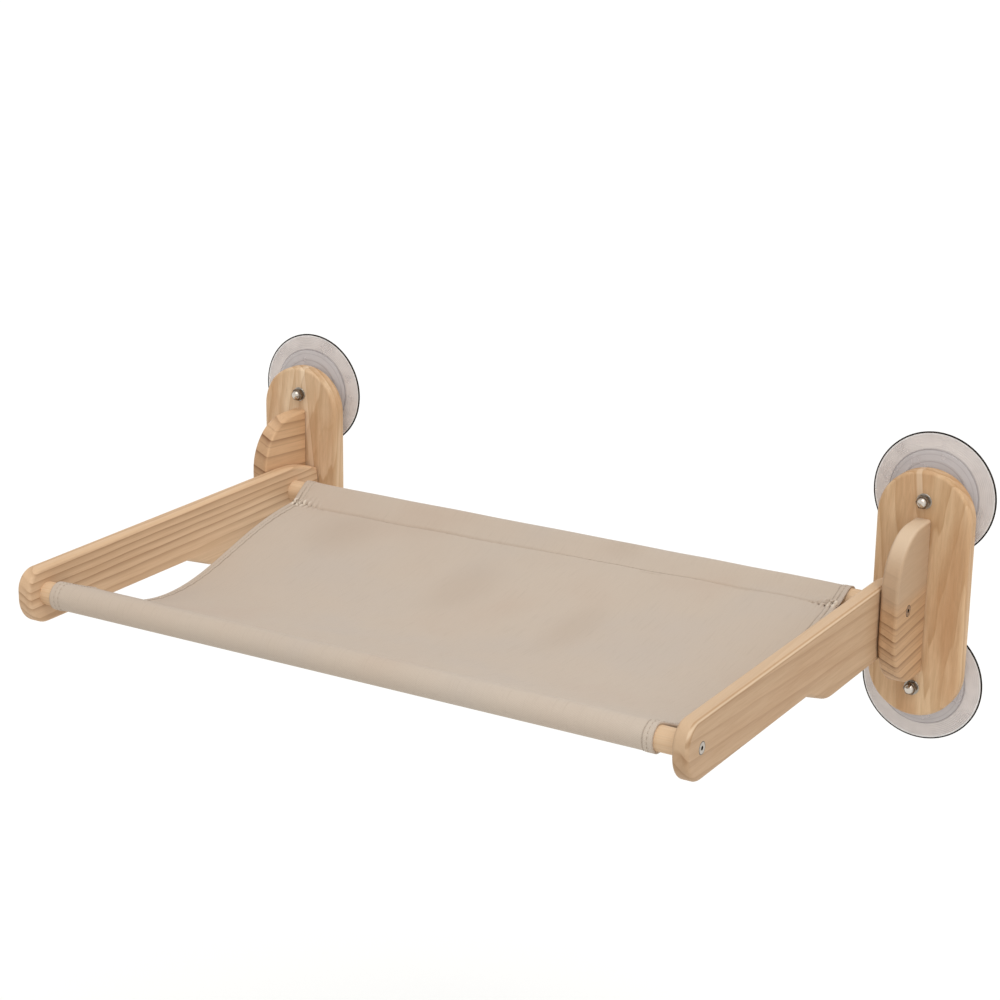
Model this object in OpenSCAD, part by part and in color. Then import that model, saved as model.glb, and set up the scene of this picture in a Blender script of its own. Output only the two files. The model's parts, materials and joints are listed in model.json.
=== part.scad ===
// Window mounted cat perch: two wall plates held on a window by suction cups,
// and a seat frame of two arms and two dowels that folds up about its rear dowel.
// Millimetres, +Z up. The window's glass is the plane Y = 0 and the room is on its -Y side.
// The origin is the centre of the four suction cups.

/* [Wall plates] */
// Distance between the centre lines of the two plates
plate_spacing = 615; // [450:5:800]
// Width of a plate
plate_w = 80; // [66:1:100]
// Distance from a nut's axis to the nearer end of its plate
plate_end = 25; // [20:1:40]
// Thickness of a plate
plate_t = 15; // [10:0.5:20]

/* [Ribs] */
// Thickness of a rib
rib_t = 15; // [12:0.5:20]
// How far a rib stands out from its plate
rib_depth = 65; // [56:1:80]
// Height of a rib where it meets its plate
rib_h = 131; // [110:1:150]
// Radius of a rib's two front corners
rib_corner_r = 45; // [20:1:54]

/* [Arms] */
// Reach of an arm from the face of its plate to its front end
arm_reach = 400; // [300:5:450]
// Height of an arm
arm_h = 47; // [36:1:55]
// How far an arm's middle lies below the dowels' axes
arm_drop = 1; // [0:0.5:3]
// Thickness of an arm
arm_t = 13; // [10:0.5:20]
// Radius of the upper corner at the front end
arm_nose_r = 17; // [6:0.5:18]
// Radius of the lower corner there
arm_chin_r = 23; // [6:0.5:25]
// Length of the deeper heel at the rear
heel_l = 197; // [120:1:230]
// How far the heel drops below the arm
heel_drop = 15.5; // [8:0.5:25]
// Length of the ramp at the front of the heel
heel_ramp_l = 40; // [20:1:60]
// Radius where the ramp turns into the heel's lower edge
heel_ramp_r = 50; // [10:1:70]
// Radius of the long slope at the rear of the upper edge
slope_r = 130; // [90:5:200]
// Length of that slope along the arm
slope_l = 52; // [30:1:60]

/* [Wood] */
// Radius that eases the edges of every board
ease_r = 3; // [1:0.5:4]

/* [Dowels and pivot] */
// Diameter of a dowel
dowel_d = 19; // [16:1:26]
// Depth of the recess that takes a dowel's end in an arm
dowel_seat = 5; // [3:0.5:8]
// Distance of the front dowel's axis behind the front end of an arm
front_setback = 22; // [18:1:40]
// Distance of the pivot, which is the rear dowel's axis, from the plate
pivot_setback = 40; // [34:1:50]
// Diameter of the bolts in the dowels' ends
bolt_d = 5; // [4:0.5:6]
// Diameter of their countersunk heads
bolt_head_d = 10; // [9:0.5:12]
// Length of the two pivot bolts, over the head
pivot_bolt_l = 45; // [42:1:50]
// Length of the two front bolts, over the head
front_bolt_l = 30; // [27:1:34]
// Outer diameter of a threaded insert
insert_d = 8; // [7.5:0.5:10]
// Length of a threaded insert
insert_l = 15; // [10:1:18]
// Diameter of the washer between an arm and its rib
washer_d = 16; // [12:1:20]
// Thickness of that washer
washer_t = 1; // [0.5:0.1:2]

/* [Suction cups] */
// Diameter of a cup pressed on the glass
cup_d = 105; // [90:1:120]
// Distance from the glass to the plate's back
cup_h = 8; // [7:0.5:12]
// Diameter of the thicker inner disc of a cup
cup_disc_d = 76; // [60:1:84]
// Diameter of the hub that the stud stands in
cup_hub_d = 34; // [28:1:44]
// Thickness of a cup at its rim
cup_rim_t = 1; // [0.8:0.1:1.5]
// Width of the flat ring that seals on the glass
cup_seal_w = 7; // [4:0.5:10]
// Depth of the shallow hollow left under a pressed cup
cup_hollow = 1.2; // [0.6:0.1:2]
// Diameter of a stud
stud_d = 6; // [5:0.5:8]
// Diameter of the stud's flat head inside the hub
stud_head_d = 16; // [12:1:20]
// Thickness of that head
stud_head_t = 2; // [1.5:0.1:2.5]
// Width of a low dome nut across its flats
nut_w = 10; // [10:0.5:14]
// Height of a dome nut
nut_h = 8; // [7.5:0.5:12]
// Height of its six-sided part
nut_hex_h = 4; // [3:0.5:5]
// Diameter of the washer under a dome nut
nut_washer_d = 13; // [12:0.5:18]
// Thickness of that washer
nut_washer_t = 1; // [0.5:0.1:1.6]
// Distance from an end of a rib to the nearer washer
nut_gap = 8; // [4:0.5:20]

/* [Rib screws] */
// Distance between the two screws of a rib
rib_screw_spacing = 70; // [50:1:90]
// Diameter of a rib screw
rib_screw_d = 4; // [3:0.5:5]
// Diameter of its countersunk head
rib_screw_head_d = 8; // [7:0.5:9]
// Length of a rib screw
rib_screw_l = 40; // [35:1:50]

/* [Sling] */
// Width of the sling along the front dowel
sling_w = 536; // [400:1:545]
// How far each end of its rear sleeve is gathered in
rear_gather = 3.5; // [0:0.5:20]
// How far the sling has slid to the left on its dowels
sling_shift = 2; // [0:0.5:10]
// Thickness of the canvas
cloth_t = 1.2; // [0.8:0.1:1.5]
// Distance from a dowel's axis to the line where its sleeve is sewn
pocket_l = 30; // [24:1:45]
// How far the sewn lines lie below the dowels' axes
seam_drop = 1.5; // [0:0.5:6]
// Sag of the sheet half way along
sag_middle = 17; // [5:1:40]
// Sag of the side hems
sag_edge = 28; // [5:1:45]
// How far the side hems are drawn in
side_pull = 16; // [0:1:40]

/* [Hidden] */
$fn = 96;

// Clearances, each as a gap on one side
turning_gap = 0.06;   // round a pivot bolt in its rib
thread_gap = 0.05;    // round a thread, a stud or an insert in its hole
seat_gap = 0.1;       // round a dowel's end in its recess
side_gap = 0.1;       // between a rib and its washer
heel_gap = 0.2;       // between the arm's heel and the plate it bears on
swing_gap = 0.6;      // between the arm's rear end and the plate while it folds
cloth_gap = 0.4;      // between the canvas and a dowel, and between its layers
drill_gap = 4;        // beyond a bolt's end in its hole
cut = 1;              // overrun of every cut

// Places in the row frame
left = -1;
right = 1;
upper = 1;
lower = -1;
plate_x = plate_spacing / 2;
cup_spacing = rib_h + 2 * nut_gap + nut_washer_d;
plate_h = cup_spacing + 2 * plate_end;
plate_back_y = -cup_h;
plate_front_y = plate_back_y - plate_t;
rib_inner_x = plate_x - rib_t / 2;
rib_outer_x = plate_x + rib_t / 2;
arm_outer_x = rib_inner_x - side_gap - washer_t;
arm_inner_x = arm_outer_x - arm_t;
dowel_end_x = arm_inner_x + dowel_seat;
dowel_r = dowel_d / 2;
pivot_y = plate_front_y - pivot_setback;
arm_front_y = plate_front_y - arm_reach;
front_y = arm_front_y + front_setback;
heel_front_y = plate_front_y - heel_l;
heel_back_y = plate_front_y - heel_gap;

// Arc of points about a centre, from one angle to another
function arc(centre, r, from, to, steps) =
    [for (i = [0 : steps]) let (a = from + (to - from) * i / steps) centre + r * [cos(a), sin(a)]];

// Where two circles cross, on the left of the line from the first centre to the second
function crossing(c1, r1, c2, r2) =
    let (
        d = norm(c2 - c1),
        along = (r1 * r1 - r2 * r2 + d * d) / (2 * d),
        aside = sqrt(r1 * r1 - along * along),
        e = (c2 - c1) / d
    )
    c1 + along * e + aside * [-e[1], e[0]];

// Angle of a point seen from a centre
function bearing(centre, p) = atan2(p[1] - centre[1], p[0] - centre[0]);

// Board with eased edges: a convex outline in its own XY plane, its thickness centred on Z
module eased_board(t, r = ease_r) {
    hull()
        for (a = [0, 45, 90])
            linear_extrude(height = t - 2 * r * (1 - sin(a)), center = true)
                offset(delta = -r * (1 - cos(a)))
                    children();
}

// Turns a board's outline from XY into YZ, with its thickness along X
module upright() {
    rotate([90, 0, 90])
        children();
}

// Turns a shape's own +Z towards the room, along -Y
module roomward() {
    rotate([90, 0, 0])
        children();
}

// Turns a shape's own +Z inwards from the right-hand side, along -X
module inward() {
    rotate([0, -90, 0])
        children();
}

// Puts a right-hand piece on its own side
module on_side(side) {
    mirror([side < 0 ? 1 : 0, 0, 0])
        children();
}

module at_cup(side, level) {
    translate([side * plate_x, 0, level * cup_spacing / 2])
        roomward()
            children();
}

// Countersunk machine bolt with a hexagon socket, its head's face at 0 and its end at +Z
bolt_head_h = (bolt_head_d - bolt_d) / 2;
socket_w_share = 0.3;
socket_h_share = 0.6;

module countersunk_bolt(l) {
    color("silver")
        difference() {
            union() {
                cylinder(d1 = bolt_head_d, d2 = bolt_d, h = bolt_head_h);
                cylinder(d = bolt_d, h = l);
            }
            translate([0, 0, -cut])
                cylinder(d = bolt_head_d * socket_w_share, h = cut + bolt_head_h * socket_h_share, $fn = 6);
        }
}

// Space that such a bolt needs, with a gap all round
module bolt_hole(l, gap) {
    cylinder(d1 = bolt_head_d + 2 * gap, d2 = bolt_d + 2 * gap, h = bolt_head_h);
    translate([0, 0, -cut])
        cylinder(d = bolt_head_d + 2 * gap, h = cut);
    cylinder(d = bolt_d + 2 * gap, h = l);
}

// Wall plate
module plate_outline() {
    union() {
        for (level = [lower, upper])
            translate([0, level * (plate_h - plate_w) / 2])
                circle(d = plate_w, $fn = 48);
        square([plate_w, plate_h - plate_w], center = true);
    }
}

module plate() {
    color("burlywood")
        difference() {
            translate([plate_x, (plate_front_y + plate_back_y) / 2, 0])
                roomward()
                    eased_board(plate_t)
                        plate_outline();
            for (level = [lower, upper])
                translate([plate_x, plate_back_y + cut, level * cup_spacing / 2])
                    roomward()
                        cylinder(d = stud_d + 2 * thread_gap, h = plate_t + 2 * cut);
            rib_screw_places()
                rib_screw_hole();
        }
}

module left_plate() {
    on_side(left)
        plate();
}

module right_plate() {
    plate();
}

// Rib: its outline runs from the plate's face to its two rounded front corners
rib_top_z = rib_h / 2;
rib_front_y = plate_front_y - rib_depth;
rib_corner = [rib_front_y + rib_corner_r, rib_top_z - rib_corner_r];

module rib_outline() {
    polygon(concat(
        [[plate_front_y, -rib_top_z], [plate_front_y, rib_top_z]],
        arc(rib_corner, rib_corner_r, 90, 180, 16),
        arc([rib_corner[0], -rib_corner[1]], rib_corner_r, 180, 270, 16)
    ));
}

module rib() {
    color("tan")
        difference() {
            translate([plate_x, 0, 0])
                upright()
                    eased_board(rib_t)
                        rib_outline();
            translate([rib_outer_x, pivot_y, 0])
                inward()
                    bolt_hole(rib_t + cut, turning_gap);
            rib_screw_places()
                rib_screw_hole();
        }
}

module left_rib() {
    on_side(left)
        rib();
}

module right_rib() {
    rib();
}

// Wood screws that hold a rib, driven from the back of its plate
rib_screw_head_h = (rib_screw_head_d - rib_screw_d) / 2;
rib_screw_tip_h = rib_screw_d;

module rib_screw_places() {
    for (level = [lower, upper])
        translate([plate_x, plate_back_y, level * rib_screw_spacing / 2])
            roomward()
                children();
}

module rib_screw_shape(gap) {
    cylinder(d1 = rib_screw_head_d + 2 * gap, d2 = rib_screw_d + 2 * gap, h = rib_screw_head_h);
    cylinder(d = rib_screw_d + 2 * gap, h = rib_screw_l - rib_screw_tip_h);
    translate([0, 0, rib_screw_l - rib_screw_tip_h])
        cylinder(d1 = rib_screw_d + 2 * gap, d2 = rib_screw_d * socket_w_share, h = rib_screw_tip_h + gap);
}

module rib_screw_hole() {
    rib_screw_shape(thread_gap);
    translate([0, 0, -cut])
        cylinder(d = rib_screw_head_d + 2 * thread_gap, h = cut);
}

module rib_screws() {
    color("gray")
        rib_screw_places()
            rib_screw_shape(0);
}

module left_rib_screws() {
    on_side(left)
        rib_screws();
}

module right_rib_screws() {
    rib_screws();
}

// Suction cup, pressed on the glass: its own +Z is the distance from the glass
cup_r = cup_d / 2;
cup_disc_r = cup_disc_d / 2;
cup_hub_r = cup_hub_d / 2;
band_rise_share = 0.2;     // height of the outer band where it meets the disc
disc_edge_share = 0.36;    // height of the disc's edge
hub_foot_share = 0.75;     // height of the hub's foot
stud_head_share = 0.36;    // height of the stud's head inside the hub
stud_head_z = cup_h * stud_head_share;

module suction_cup() {
    color("lavender", 0.6)
        difference() {
            rotate_extrude()
                polygon([
                    [0, cup_hollow],
                    [cup_hub_r, cup_hollow],
                    [cup_r - cup_seal_w, 0],
                    [cup_r, 0],
                    [cup_r, cup_rim_t],
                    [cup_disc_r, cup_rim_t + band_rise_share * cup_h],
                    [cup_disc_r - cup_rim_t, cup_rim_t + disc_edge_share * cup_h],
                    [cup_hub_r + cup_rim_t, hub_foot_share * cup_h],
                    [cup_hub_r, cup_h],
                    [0, cup_h]
                ]);
            stud_shape(thread_gap);
        }
}

module left_upper_cup() {
    at_cup(left, upper)
        suction_cup();
}

module left_lower_cup() {
    at_cup(left, lower)
        suction_cup();
}

module right_upper_cup() {
    at_cup(right, upper)
        suction_cup();
}

module right_lower_cup() {
    at_cup(right, lower)
        suction_cup();
}

// Stud: a flat head moulded into the hub, and a shank through the plate into the nut's dome
dome_entry_share = 0.25;
nut_face_z = cup_h + plate_t + nut_washer_t;
stud_end_z = nut_face_z + nut_hex_h + (nut_h - nut_hex_h) * dome_entry_share;

module stud_shape(gap) {
    translate([0, 0, stud_head_z - gap])
        cylinder(d = stud_head_d + 2 * gap, h = stud_head_t + 2 * gap);
    translate([0, 0, stud_head_z])
        cylinder(d = stud_d + 2 * gap, h = stud_end_z - stud_head_z);
}

module stud() {
    color("silver")
        stud_shape(0);
}

module left_upper_stud() {
    at_cup(left, upper)
        stud();
}

module left_lower_stud() {
    at_cup(left, lower)
        stud();
}

module right_upper_stud() {
    at_cup(right, upper)
        stud();
}

module right_lower_stud() {
    at_cup(right, lower)
        stud();
}

// Washer on the plate's face
module nut_washer() {
    color("silver")
        translate([0, 0, cup_h + plate_t])
            difference() {
                cylinder(d = nut_washer_d, h = nut_washer_t);
                translate([0, 0, -cut])
                    cylinder(d = stud_d + 2 * thread_gap, h = nut_washer_t + 2 * cut);
            }
}

module left_upper_washer() {
    at_cup(left, upper)
        nut_washer();
}

module left_lower_washer() {
    at_cup(left, lower)
        nut_washer();
}

module right_upper_washer() {
    at_cup(right, upper)
        nut_washer();
}

module right_lower_washer() {
    at_cup(right, lower)
        nut_washer();
}

// Low dome nut on the washer: a six-sided base under a round dome
dome_share = 0.475;        // the dome's radius to the width across the flats
dome_r = nut_w * dome_share;

module dome_nut() {
    color("gainsboro")
        translate([0, 0, nut_face_z])
            difference() {
                union() {
                    intersection() {
                        cylinder(d = nut_w / cos(30), h = nut_hex_h, $fn = 6);
                        cylinder(r1 = nut_w / 2 + nut_hex_h, r2 = nut_w / 2, h = nut_hex_h);
                    }
                    intersection() {
                        cylinder(r = dome_r, h = nut_h);
                        translate([0, 0, nut_h - dome_r])
                            sphere(r = dome_r);
                    }
                }
                translate([0, 0, -cut])
                    cylinder(d = stud_d + 2 * thread_gap, h = cut + stud_end_z - nut_face_z + thread_gap);
            }
}

module left_upper_nut() {
    at_cup(left, upper)
        dome_nut();
}

module left_lower_nut() {
    at_cup(left, lower)
        dome_nut();
}

module right_upper_nut() {
    at_cup(right, upper)
        dome_nut();
}

module right_lower_nut() {
    at_cup(right, lower)
        dome_nut();
}

// Arm: a straight bar, and the deeper heel that bears on the plate.
// Above the pivot the rear end follows a circle about it, so it swings clear of the plate.
pivot = [pivot_y, 0];
swing_r = pivot_setback - swing_gap;
arm_top_z = arm_h / 2 - arm_drop;
arm_bottom_z = arm_top_z - arm_h;
slope_centre = [plate_front_y - slope_l, arm_top_z - slope_r];
slope_end = crossing(pivot, swing_r, slope_centre, slope_r);

module arm_bar_outline() {
    polygon(concat(
        arc([arm_front_y + arm_chin_r, arm_bottom_z + arm_chin_r], arm_chin_r, 270, 180, 8),
        arc([arm_front_y + arm_nose_r, arm_top_z - arm_nose_r], arm_nose_r, 180, 90, 8),
        arc(slope_centre, slope_r, 90, bearing(slope_centre, slope_end), 5),
        arc(pivot, swing_r, bearing(pivot, slope_end), 0, 4),
        [[pivot_y + swing_r, arm_bottom_z]]
    ));
}

// The heel's lower front corner is rounded between its ramp and its lower edge
heel_z = arm_bottom_z - heel_drop;
ramp_angle = atan2(heel_drop, heel_ramp_l);
ramp_foot = [heel_front_y + heel_ramp_l, heel_z];
ramp_tangent = heel_ramp_r * tan(ramp_angle / 2);

module heel_outline() {
    polygon(concat(
        [[heel_front_y, arm_bottom_z]],
        arc(ramp_foot + [ramp_tangent, heel_ramp_r], heel_ramp_r, 270 - ramp_angle, 270, 5),
        [
            [heel_back_y, heel_z],
            [heel_back_y, 0],
            [heel_front_y + heel_drop, 0]
        ]
    ));
}

module arm_boards() {
    translate([arm_outer_x - arm_t / 2, 0, 0])
        upright() {
            eased_board(arm_t)
                arm_bar_outline();
            eased_board(arm_t)
                heel_outline();
        }
}

module arm() {
    color("wheat")
        difference() {
            arm_boards();
            for (y = [pivot_y, front_y])
                translate([arm_inner_x - cut, y, 0])
                    rotate([0, 90, 0])
                        cylinder(r = dowel_r + seat_gap, h = cut + dowel_seat);
            translate([arm_outer_x + cut, pivot_y, 0])
                inward()
                    cylinder(d = bolt_d + 2 * thread_gap, h = arm_t + 2 * cut);
            translate([arm_outer_x, front_y, 0])
                inward()
                    bolt_hole(arm_t, thread_gap);
        }
}

module left_arm() {
    on_side(left)
        arm();
}

module right_arm() {
    arm();
}

// Dowel, drilled at both ends for a threaded insert and the end of its bolt
pivot_bolt_end_x = rib_outer_x - pivot_bolt_l;
front_bolt_end_x = arm_outer_x - front_bolt_l;

module dowel(y, bolt_end_x) {
    color("burlywood")
        translate([0, y, 0])
            difference() {
                rotate([0, 90, 0])
                    cylinder(r = dowel_r, h = 2 * dowel_end_x, center = true);
                for (side = [left, right])
                    on_side(side) {
                        translate([dowel_end_x + cut, 0, 0])
                            inward()
                                cylinder(d = insert_d + 2 * thread_gap, h = cut + insert_l);
                        translate([dowel_end_x, 0, 0])
                            inward()
                                cylinder(d = bolt_d + 2 * thread_gap, h = dowel_end_x - bolt_end_x + drill_gap);
                    }
            }
}

module front_dowel() {
    dowel(front_y, front_bolt_end_x);
}

module rear_dowel() {
    dowel(pivot_y, pivot_bolt_end_x);
}

// Threaded insert in a dowel's end
module insert_at(side, y) {
    color("goldenrod")
        on_side(side)
            translate([dowel_end_x, y, 0])
                inward()
                    difference() {
                        cylinder(d = insert_d, h = insert_l);
                        translate([0, 0, -cut])
                            cylinder(d = bolt_d + 2 * thread_gap, h = insert_l + 2 * cut);
                    }
}

module left_front_insert() {
    insert_at(left, front_y);
}

module right_front_insert() {
    insert_at(right, front_y);
}

module left_rear_insert() {
    insert_at(left, pivot_y);
}

module right_rear_insert() {
    insert_at(right, pivot_y);
}

// Bolts into the dowels' ends
module front_bolt() {
    translate([arm_outer_x, front_y, 0])
        inward()
            countersunk_bolt(front_bolt_l);
}

module left_front_bolt() {
    on_side(left)
        front_bolt();
}

module right_front_bolt() {
    front_bolt();
}

module pivot_bolt() {
    translate([rib_outer_x, pivot_y, 0])
        inward()
            countersunk_bolt(pivot_bolt_l);
}

module left_pivot_bolt() {
    on_side(left)
        pivot_bolt();
}

module right_pivot_bolt() {
    pivot_bolt();
}

// Washer that keeps an arm off its rib
module pivot_washer() {
    color("dimgray")
        translate([arm_outer_x + washer_t, pivot_y, 0])
            inward()
                difference() {
                    cylinder(d = washer_d, h = washer_t);
                    translate([0, 0, -cut])
                        cylinder(d = bolt_d + 2 * thread_gap, h = washer_t + 2 * cut);
                }
}

module left_pivot_washer() {
    on_side(left)
        pivot_washer();
}

module right_pivot_washer() {
    pivot_washer();
}

// Sling: one strip of canvas that wraps both dowels in sewn sleeves and sags between them.
// The strip's centre line is worked out in a side view, at stations across its width.
wrap_r = dowel_r + cloth_gap + cloth_t / 2;
layer_step = cloth_t + cloth_gap;
seam = [pocket_l, -seam_drop];
tail = seam - [0, layer_step];
over_angle = atan2(seam[1], seam[0]) + acos(wrap_r / norm(seam));
under_angle = atan2(tail[1], tail[0]) - acos(wrap_r / norm(tail));
wrap_steps = 14;
sheet_steps = 14;
station_shares = [-1, -0.965, -0.85, -0.6, -0.3, 0, 0.3, 0.6, 0.85, 0.965, 1];

// A sleeve seen from the side: its dowel at the origin, its seam towards +X, from tail to top
sleeve_path = concat(
    [tail, (tail + wrap_r * [cos(under_angle), sin(under_angle)]) / 2],
    arc([0, 0], wrap_r, under_angle, over_angle - 360, wrap_steps)
);

rear_seam_y = pivot_y - pocket_l;
front_seam_y = front_y + pocket_l;
edge_growth = 3;       // how quickly the hems' own sag takes over towards the sides
middle_skew = 1.3;     // above 1 the deepest point lies nearer the front
edge_skew = 2.2;
pull_skew = 1.2;       // the same for the sides' drawing in

function edge_share(u) = pow(abs(u), edge_growth);
function sag(u) = sag_middle + (sag_edge - sag_middle) * edge_share(u);
function skew(u) = middle_skew + (edge_skew - middle_skew) * edge_share(u);

// Centre line of the sheet between its two seams, at share t of the way to the front
function sheet_point(u, t) = [
    rear_seam_y + (front_seam_y - rear_seam_y) * t,
    -seam_drop - sag(u) * sin(180 * pow(t, skew(u)))
];

// Whole centre line at station u, from the rear tail over both dowels to the front tail
function strip_path(u) = concat(
    [for (p = sleeve_path) [pivot_y - p[0], p[1]]],
    [for (i = [0 : sheet_steps]) sheet_point(u, i / sheet_steps)],
    [for (i = [len(sleeve_path) - 1 : -1 : 0]) [front_y + sleeve_path[i][0], sleeve_path[i][1]]]
);

// Place along the width: the rear sleeve is gathered, and the sides are drawn in between the sleeves
function front_share(y) = min(1, max(0, (rear_seam_y - y) / (rear_seam_y - front_seam_y)));
function strip_x(u, y) =
    let (
        t = front_share(y),
        drawn_in = side_pull * sin(180 * pow(t, pull_skew)) * edge_share(u)
    )
    u * (sling_w / 2 - rear_gather * (1 - t) - drawn_in) - sling_shift;

// Unit normal of the centre line at its point i
function strip_normal(path, i) =
    let (
        a = path[max(i - 1, 0)],
        b = path[min(i + 1, len(path) - 1)],
        d = (b - a) / norm(b - a)
    )
    [-d[1], d[0]];

function strip_side(u, offset) =
    let (path = strip_path(u))
    [for (i = [0 : len(path) - 1])
        let (p = path[i] + offset * strip_normal(path, i))
        [strip_x(u, path[i][0]), p[0], p[1]]];

// Two triangles over each cell of a grid of points
function grid_faces(rows, columns, first, turned) =
    [for (i = [0 : rows - 2], j = [0 : columns - 2])
        let (
            a = first + i * columns + j,
            b = a + 1,
            c = a + columns,
            d = c + 1
        )
        each (turned ? [[a, b, d], [a, d, c]] : [[a, d, b], [a, c, d]])];

// Two triangles over each cell of the strip's rim, between its upper and lower points
function rim_faces(ids, lift) =
    [for (i = [0 : len(ids) - 2])
        let (a = ids[i], b = ids[i + 1])
        each [[a, b, b + lift], [a, b + lift, a + lift]]];

module sling() {
    top = [for (u = station_shares) each strip_side(u, -cloth_t / 2)];
    bottom = [for (u = station_shares) each strip_side(u, cloth_t / 2)];
    rows = len(station_shares);
    columns = len(strip_path(0));
    count = rows * columns;
    first_row = [for (j = [0 : columns - 1]) j];
    last_row = [for (j = [columns - 1 : -1 : 0]) (rows - 1) * columns + j];
    first_column = [for (i = [rows - 1 : -1 : 0]) i * columns];
    last_column = [for (i = [0 : rows - 1]) i * columns + columns - 1];
    color("tan")
        polyhedron(
            points = concat(top, bottom),
            faces = concat(
                grid_faces(rows, columns, 0, false),
                grid_faces(rows, columns, count, true),
                rim_faces(last_row, count),
                rim_faces(first_row, count),
                rim_faces(first_column, count),
                rim_faces(last_column, count)
            )
        );
}

left_plate();
right_plate();
left_rib();
right_rib();
left_rib_screws();
right_rib_screws();
left_upper_cup();
left_lower_cup();
right_upper_cup();
right_lower_cup();
left_upper_stud();
left_lower_stud();
right_upper_stud();
right_lower_stud();
left_upper_washer();
left_lower_washer();
right_upper_washer();
right_lower_washer();
left_upper_nut();
left_lower_nut();
right_upper_nut();
right_lower_nut();
left_arm();
right_arm();
front_dowel();
rear_dowel();
left_front_insert();
right_front_insert();
left_rear_insert();
right_rear_insert();
left_front_bolt();
right_front_bolt();
left_pivot_bolt();
right_pivot_bolt();
left_pivot_washer();
right_pivot_washer();
sling();
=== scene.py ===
# Window mounted cat perch: the looks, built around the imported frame.
# Metres. The window's glass is the plane Y = 0, the room is on its -Y side and +Z is up.
import json
import math

import bmesh
import bpy
from mathutils import Matrix, Vector, noise


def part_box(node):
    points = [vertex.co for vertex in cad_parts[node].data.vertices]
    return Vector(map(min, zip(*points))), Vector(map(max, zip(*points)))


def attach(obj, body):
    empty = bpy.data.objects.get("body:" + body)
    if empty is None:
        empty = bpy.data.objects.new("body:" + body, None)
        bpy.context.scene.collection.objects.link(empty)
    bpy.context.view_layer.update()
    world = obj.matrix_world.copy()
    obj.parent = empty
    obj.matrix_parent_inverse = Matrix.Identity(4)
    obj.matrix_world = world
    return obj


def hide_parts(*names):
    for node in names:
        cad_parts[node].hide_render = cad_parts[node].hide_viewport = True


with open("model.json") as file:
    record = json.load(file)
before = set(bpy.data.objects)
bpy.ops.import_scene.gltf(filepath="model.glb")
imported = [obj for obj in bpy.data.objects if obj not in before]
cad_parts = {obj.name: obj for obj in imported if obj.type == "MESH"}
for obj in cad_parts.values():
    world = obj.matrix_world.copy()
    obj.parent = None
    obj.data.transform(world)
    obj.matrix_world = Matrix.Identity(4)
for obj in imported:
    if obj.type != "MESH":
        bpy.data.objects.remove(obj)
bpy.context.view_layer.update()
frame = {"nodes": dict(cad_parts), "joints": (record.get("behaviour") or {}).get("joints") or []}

scene = bpy.context.scene
sides = (("left", -1), ("right", 1))
levels = (("upper", 1), ("lower", -1))
pivot = Vector(frame["joints"][0]["pos_m"])
roomward = (0, -1, 0)
fullTurn = 2 * math.pi
mergeGap = 0.00001  # points closer than this become one


# Camera at the photograph's place

camera = {
    "place": (0.93657, -1.74866, 0.63404),
    "azimuth": 30.72,    # degrees to the left of +Y
    "elevation": 17.17,  # degrees that it looks down
    "roll": 0.75,
    "lens": 84.643,
    "sensor": 36.0,
}


def makeCamera():
    azimuth = math.radians(camera["azimuth"])
    elevation = math.radians(camera["elevation"])
    roll = math.radians(camera["roll"])
    ahead = Vector((-math.sin(azimuth) * math.cos(elevation),
                    math.cos(azimuth) * math.cos(elevation), -math.sin(elevation)))
    aside = Vector((math.cos(azimuth), math.sin(azimuth), 0))
    above = aside.cross(ahead)
    right = math.cos(roll) * aside + math.sin(roll) * above
    up = math.cos(roll) * above - math.sin(roll) * aside
    turn = Matrix((right, up, -ahead)).transposed().to_4x4()
    data = bpy.data.cameras.new("photoCamera")
    data.lens = camera["lens"]
    data.sensor_width = camera["sensor"]
    data.clip_start = 0.05
    data.clip_end = 200
    eye = bpy.data.objects.new("photoCamera", data)
    eye.matrix_world = Matrix.Translation(camera["place"]) @ turn
    scene.collection.objects.link(eye)
    scene.camera = eye


# Helpers for colours and nodes: values are numbers or sockets, and a new node joins the sockets' tree

def paint(code):
    # a colour as paint programs write it, turned to linear light
    parts = [int(code[i:i + 2], 16) / 255 for i in (0, 2, 4)]
    linear = [p / 12.92 if p <= 0.04045 else ((p + 0.055) / 1.055) ** 2.4 for p in parts]
    return (*linear, 1.0)


def treeOf(*values):
    return next(value for value in values if isinstance(value, bpy.types.NodeSocket)).id_data


def addNode(tree, kind, inputs=None, **settings):
    node = tree.nodes.new("ShaderNode" + kind)
    for name, value in settings.items():
        setattr(node, name, value)
    for socket, value in (inputs or {}).items():
        if isinstance(value, bpy.types.NodeSocket):
            tree.links.new(value, node.inputs[socket])
        else:
            node.inputs[socket].default_value = value
    return node


def feed(sockets, values):
    for label, value in values.items():
        treeOf(value).links.new(value, sockets[label])


def maths(operation, a, b=0.0, clamp=False):
    node = addNode(treeOf(a, b), "Math", {0: a, 1: b}, operation=operation, use_clamp=clamp)
    return node.outputs[0]


def times(a, b, clamp=False):
    return maths("MULTIPLY", a, b, clamp)


def plus(a, b):
    return maths("ADD", a, b)


def minus(a, b):
    return maths("SUBTRACT", a, b)


def ratio(a, b):
    return maths("DIVIDE", a, b)


def gapTo(a, b):
    return maths("ABSOLUTE", minus(a, b))


def vectorMaths(operation, a, b=(0, 0, 0)):
    node = addNode(treeOf(a, b), "VectorMath", {0: a, 1: b}, operation=operation)
    return node.outputs["Value" if operation in ("LENGTH", "DOT_PRODUCT") else "Vector"]


def stretched(vector, factors):
    return vectorMaths("MULTIPLY", vector, factors)


def axes(vector):
    return addNode(treeOf(vector), "SeparateXYZ", {0: vector}).outputs


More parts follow.
